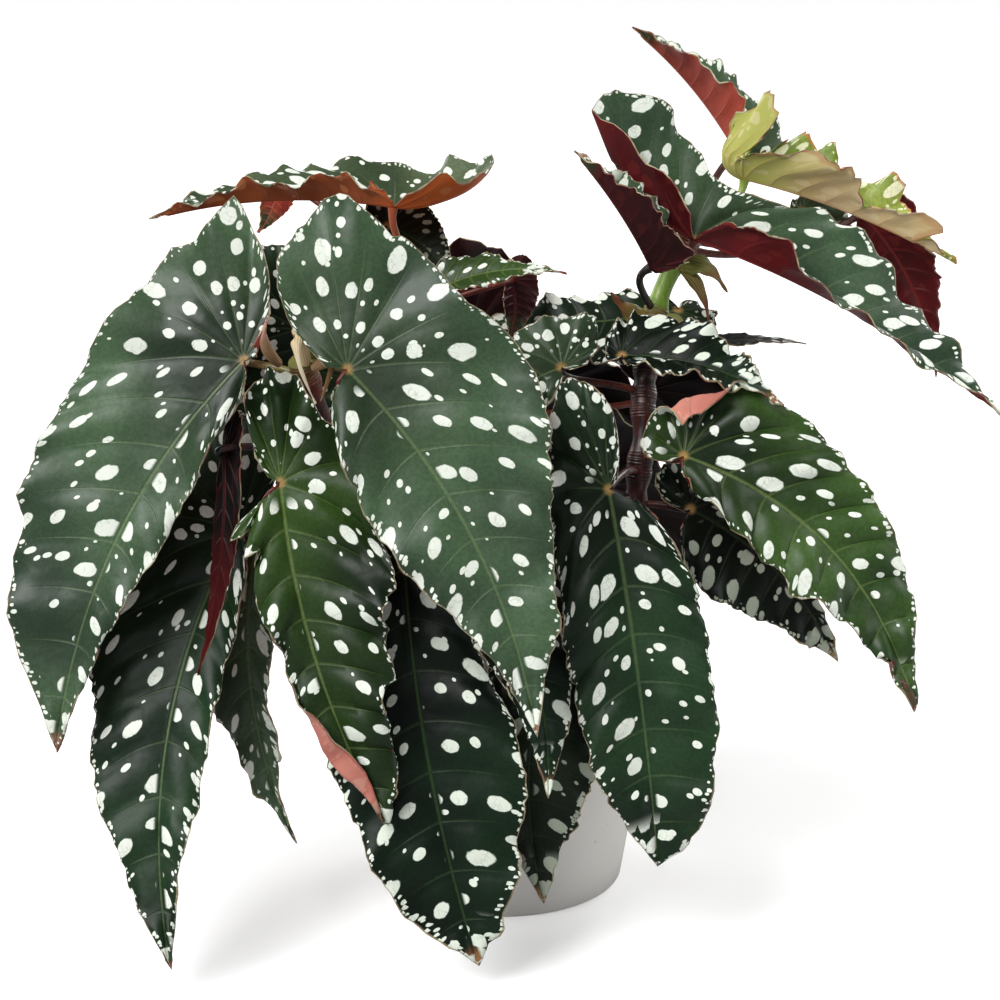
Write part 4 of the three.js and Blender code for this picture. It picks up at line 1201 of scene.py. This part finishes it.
def stalk_path(leaf):
    base, x_axis, _, z_axis, _ = axes_of(leaf)
    slope = float(midrib(leaf, np.array(0.0))[2])
    down = -z_axis * math.cos(slope) + x_axis * math.sin(slope)
    start = route_at(leaf["cane"], leaf["at"])[0]
    end = base + down * (BLADE_THICKNESS * 0.8)
    reach = np.linalg.norm(end - start)
    before_end = end + down * min(14, reach * 0.35)
    after_start = start + (before_end - start) * 0.35
    after_start[2] += reach * leaf["lift"]
    t = np.linspace(0, 1, 25)[:, None]
    return ((1 - t)**3 * start + 3 * (1 - t)**2 * t * after_start + 3 * (1 - t) * t**2 * before_end
            + t**3 * end)


print("canes:", ", ".join(CANES))

# %% [markdown]
# ## Each cane with its stalks
#
# The stalks grow out of the cane's nodes, so they belong to one piece with it, as in the solid model.

# %% Making the canes
def make_cane(name):
    leaves = {key: form for key, form in LEAVES.items() if form["cane"] == name}
    points = route_at(name, np.linspace(0, 1, 28 * (len(CANES[name]) - 1)))
    points = np.vstack([points[0] + [0, 0, -8], points])
    nodes = [route_at(name, form["at"])[0] for form in leaves.values()]
    run = run_along(points)
    radii = CANE_RADIUS - CANE_TAPER * run / run[-1]
    for node in nodes:
        away = abs(run - run[nearest_point(points, node)])
        radii = np.maximum(radii, CANE_RADIUS - 0.4 + NODE_SWELLING * np.exp(-((away / NODE_REACH) ** 2)))
    tints = np.interp(points[:, 2], *zip(*CANE_TINTS[name]))
    pieces = [round_bar(name, points, radii, tints, nodes, sides=6)]
    pieces[0].data.materials.append(stem_skin)
    for key, form in leaves.items():
        path = stalk_path(form)
        ends = abs(np.linspace(-1, 1, len(path)))
        radius = STALK_RADIUS * (0.80 + 0.35 * ends**6) * (0.8 if key in THIN_STALKS else 1)
        tint = np.linspace(0, 0.12, len(path)) + STALK_TINTS.get(key, OTHER_STALKS)
        stalk = round_bar("stalk_" + key, path, radius, np.minimum(tint, 1), [path[0]], sides=3)
        stalk.data.materials.append(copper_skin if key == "top_left" else stem_skin)
        pieces.append(stalk)
    cane = join_all(pieces, "stems_" + name)
    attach(cane, "root")
    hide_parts(name)
    return cane


canes = {name: make_cane(name) for name in CANES}
print("canes with stalks:", {name: len(cane.data.vertices) for name, cane in canes.items()})

# %% [markdown]
# ## Stipules
#
# Where a leaf leaves its node a pair of stipules once wrapped the bud. On the old nodes they have dried: cream, olive
# or brown scales that curl. Each is a small grid along a curve, wide near its foot, pointed, and cupped round its own
# axis. Its row gives the points that pull on the curve, where its face looks, its width, its cup and its skin.

# %% Stipules
def make_scale_skin(name, foot, tip, veins):
    material, tree, surface = new_material("scale_" + name)
    across, along, _ = split(own_map(tree, "Scale"))
    clouds = noise(object_place(tree), 180.0, 3.0)
    shade = calc("ADD", along, clouds * 0.6 - 0.3, clamp=True)
    color = blend(ease(shade, 0.35, 0.9), paint(*foot), paint(*tip))
    lines = calc("SINE", across * 42.0)
    color = blend(ease(lines, 0.55, 1.0) * 0.40, color, paint(*veins))
    set_surface(surface, color, 0.55, lines * 0.35 + clouds, depth=0.0004)
    return material


scale_skins = {name: make_scale_skin(name, *paints) for name, paints in {
    "pink": ((160, 130, 90), (228, 172, 158), (190, 112, 100)),
    "cream": ((206, 184, 142), (234, 220, 190), (170, 140, 104)),
    "olive": ((112, 116, 48), (120, 84, 44), (84, 78, 34)),
    "brown": ((120, 104, 46), (112, 62, 34), (74, 40, 24)),
    "pale": ((150, 160, 80), (196, 196, 128), (120, 132, 60)),
}.items()}
STIPULES = {
    "pink": (((-72, -69, 209), (-79, -82, 218), (-75, -82, 228)), (0.2, -1, 0.1), 2.6, 2.4, "pink"),
    "cream": (((-64, -71, 209), (-66, -88, 233), (-69, -97, 222), (-59.5, -91, 201.5)), (-0.2, -1, 0.1), 3.4, 3.0,
              "cream"),
    "olive": (((-62, -69, 211), (-54, -80, 230), (-49, -90, 222), (-58, -89, 202)), (0.3, -0.8, 0.4), 5.0, 2.0,
              "olive"),
    "rosy": (((-62, -71, 208), (-56, -82, 215), (-51.5, -88, 216)), (0, -1, 0.3), 2.8, 2.6, "pink"),
    "flap": (((62, -3, 230), (72, -12, 236), (79, -14, 222)), (0.3, -0.8, 0.5), 5.0, 1.6, "olive"),
    "hanging": (((63, -5, 229), (72, -14, 226), (73, -14, 209)), (0.3, -1, 0), 3.2, 2.4, "brown"),
    "low": (((56, -9, 212), (66, -14, 214), (63, -15, 206)), (0.2, -0.9, 0.2), 2.2, 2.2, "olive"),
    "left": (((55, -8, 211), (45, -14, 213), (38.5, -14, 222)), (-0.2, -0.8, 0.5), 4.2, 1.7, "brown"),
    "upright": (((62, -3, 231), (60, -13, 240), (55.5, -15, 257)), (-0.1, -1, 0.1), 2.7, 2.0, "pale"),
}
STIPULE_THICKNESS = 0.35


def along_path(path, t):
    """A point and the direction at share t of the curve that these points pull on."""
    points = [np.array(point, float) + 0 * t for point in path]
    while len(points) > 2:
        points = [(1 - t) * a + t * b for a, b in zip(points, points[1:])]
    return (1 - t) * points[0] + t * points[1], points[1] - points[0]


def make_stipule(name, path, face, width, cup, skin):
    scale, (across, along) = add_grid("stipule_" + name, 12, 26)
    across = 2 * across - 1
    centre, forward = along_path(path, along[:, None])
    forward = unit(forward)
    side = unit(np.cross(forward, np.array(face, float)))
    up = np.cross(side, forward)
    half_width = width * (0.45 + 0.55 * np.sin(np.pi * np.minimum(along * 1.15 + 0.15, 1))) * (1 - along**3) ** 0.7
    wave = 0.12 * width * np.sin(along * 19 + across * 2) * abs(across)
    angle = across * cup / 2
    radius = half_width / (cup / 2)
    sideways, down = radius * np.sin(angle), radius * (1 - np.cos(angle)) + wave
    places = centre + side * sideways[:, None] - up * down[:, None]
    scale.data.vertices.foreach_set("co", (places * MM).ravel())
    set_map(scale.data, "Scale", np.column_stack([across / 2 + 0.5, along]))
    clean_up(merge=1e-5)
    scale.data.materials.append(scale_skins[skin])
    thicken(scale, STIPULE_THICKNESS)
    smooth_below(50)
    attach(scale, "root")
    return scale


stipules = [make_stipule(name, *form) for name, form in STIPULES.items()]
print(len(stipules), "stipules")

# %% [markdown]
# ## The pot
#
# The pot was cut away from the picture, so it is a plain one: thrown in pale clay, with a rounded rim and a soft
# glaze. It starts as a filled circle that is extruded ring by ring: up the outside, over the rim and down the inside.

# %% The pot
POT_HEIGHT, POT_TOP_RADIUS, POT_BASE_RADIUS, POT_WALL, POT_FLOOR, RIM_ROUND = 112, 62, 45, 3.5, 5, 1.75
POT_SIDES = 112


def pot_radius_at(height):
    return POT_BASE_RADIUS + (POT_TOP_RADIUS - POT_BASE_RADIUS) * height / POT_HEIGHT


def make_glaze():
    material, tree, surface = new_material("pot_glaze")
    body = object_place(tree)
    clouds = noise(body, 14.0, 4.0)
    distance, _, luck = cells(body, 260.0)
    fleck = ease(distance, 0.22, 0.12) * (luck[0] > 0.86)
    color = blend(ease(clouds, 0.3, 0.7), paint(232, 229, 221), paint(243, 241, 235))
    color = blend(fleck * 0.35, color, paint(186, 172, 148))
    rings = noise(calc_vector("MULTIPLY", body, (0.3, 0.3, 9)), 40.0)
    set_surface(surface, color, clouds * 0.15 + 0.30, rings, depth=0.0004, strength=0.35)
    feed(surface["Coat Weight"], 0.25)
    feed(surface["Coat Roughness"], 0.18)
    return material


def make_pot():
    below_rim, centre = POT_HEIGHT - RIM_ROUND, POT_TOP_RADIUS - RIM_ROUND
    rings = [(POT_BASE_RADIUS, 1)]
    rings += [(pot_radius_at(height), height) for height in np.linspace(12, below_rim, 9)]
    rings += [(centre + RIM_ROUND * math.cos(angle), below_rim + RIM_ROUND * math.sin(angle))
              for angle in np.linspace(0, math.pi, 9)[1:]]
    rings += [(pot_radius_at(height) - POT_WALL, height) for height in (70, 30, POT_FLOOR + 3)]
    rings += [(pot_radius_at(POT_FLOOR) - POT_WALL - 3, POT_FLOOR)]
    radius, level = POT_BASE_RADIUS - 1, 0.0
    bpy.ops.mesh.primitive_circle_add(vertices=POT_SIDES, radius=radius * MM, fill_type="NGON", location=(0, 0, 0))
    pot = bpy.context.object
    pot.name = "pot_thrown"
    bpy.ops.object.mode_set(mode="EDIT")
    bpy.ops.mesh.select_all(action="SELECT")
    for next_radius, next_level in rings:
        bpy.ops.mesh.extrude_region_move(TRANSFORM_OT_translate={"value": (0, 0, (next_level - level) * MM)})
        grow = next_radius / radius
        bpy.ops.transform.resize(value=(grow, grow, 1), center_override=(0, 0, next_level * MM))
        radius, level = next_radius, next_level
    clean_up()
    smooth_below(40)
    pot.data.materials.append(make_glaze())
    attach(pot, "root")
    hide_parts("pot")
    return pot


pot = make_pot()
print("pot:", len(pot.data.polygons), "faces, size in mm", [round(v / MM, 1) for v in pot.dimensions])

# %% [markdown]
# ## The soil
#
# Potting soil is dark, crumbly and never flat. A disc is inset into rings, subdivided and lifted by a seeded noise,
# and a few hundred crumbs lie on it.

# %% The soil
SOIL_TOP = 101
SOIL_BOTTOM = 90
SOIL_RADIUS = pot_radius_at(SOIL_TOP) - POT_WALL - 0.7
CRUMBS = 260


def make_soil_skin():
    material, tree, surface = new_material("soil")
    body = object_place(tree)
    distance, _, luck = cells(body, 420.0)
    grain = noise(body, 700.0, 5.0, 0.7)
    color = blend(ease(grain, 0.3, 0.75), paint(28, 18, 12), paint(88, 62, 42))
    color = blend((luck[0] > 0.93) * 0.6, color, paint(168, 150, 122))
    set_surface(surface, color, 0.93, grain * 0.8 - distance, depth=0.002, strength=0.9)
    return material


def make_soil():
    rng = np.random.default_rng(7)
    bpy.ops.mesh.primitive_circle_add(
        vertices=48, radius=SOIL_RADIUS * MM, fill_type="NGON", location=(0, 0, SOIL_BOTTOM * MM))
    soil = bpy.context.object
    bpy.ops.object.transform_apply(location=True)
    bpy.ops.object.mode_set(mode="EDIT")
    bpy.ops.mesh.select_all(action="SELECT")
    rise = (SOIL_TOP - 1.2 - SOIL_BOTTOM) * MM
    bpy.ops.mesh.extrude_region_move(TRANSFORM_OT_translate={"value": (0, 0, rise)})
    for _ in range(9):
        bpy.ops.mesh.inset(thickness=5 * MM)
    bpy.ops.mesh.poke()
    bpy.ops.object.mode_set(mode="OBJECT")
    for _ in range(2):
        bpy.ops.object.mode_set(mode="EDIT")
        bpy.ops.mesh.select_all(action="SELECT")
        bpy.ops.mesh.subdivide(number_cuts=1)
        bpy.ops.object.mode_set(mode="OBJECT")
    places = read_places(soil.data)
    top = places[:, 2] > (SOIL_TOP - 2) * MM
    x, y = places[:, 0] / MM, places[:, 1] / MM
    hills = (0.9 * (np.sin(x * 0.21) + np.cos(y * 0.17 + x * 0.05))
             + 0.5 * np.sin(x * 0.9 + y * 0.4) * np.cos(y * 0.8))
    edge = np.clip((SOIL_RADIUS - np.hypot(x, y)) / 4, 0, 1)
    places[:, 2] += np.where(top, (hills * edge * 0.6 + rng.uniform(-0.35, 0.35, len(x)) * edge) * MM, 0)
    soil.data.vertices.foreach_set("co", places.ravel())
    pieces = [soil]
    for _ in range(CRUMBS):
        reach, angle = SOIL_RADIUS * math.sqrt(rng.uniform(0, 0.9)), rng.uniform(0, 2 * math.pi)
        place = (reach * math.cos(angle) * MM, reach * math.sin(angle) * MM, (SOIL_TOP - 0.6) * MM)
        bpy.ops.mesh.primitive_ico_sphere_add(
            subdivisions=1, radius=rng.uniform(0.5, 1.5) * MM, location=place, rotation=rng.uniform(0, 3, 3),
            scale=rng.uniform(0.6, 1.3, 3))
        pieces.append(bpy.context.object)
    soil = join_all(pieces, "soil_crumbly")
    clean_up()
    smooth_below(60)
    soil.data.materials.append(make_soil_skin())
    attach(soil, "root")
    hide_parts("soil")
    return soil


soil = make_soil()
print("soil:", len(soil.data.polygons), "faces")

# %% [markdown]
# ## The sizes, side by side
#
# The fine model has to fill the same box as the solid one, so both boxes are printed.

# %% Printing the sizes
visual_low, visual_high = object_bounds()
sizes = {"cad": [list(solid_low), list(solid_high)], "visual": [list(visual_low), list(visual_high)]}
for side, corners in sizes.items():
    print(side, [[round(v / MM, 1) for v in corner] for corner in corners])
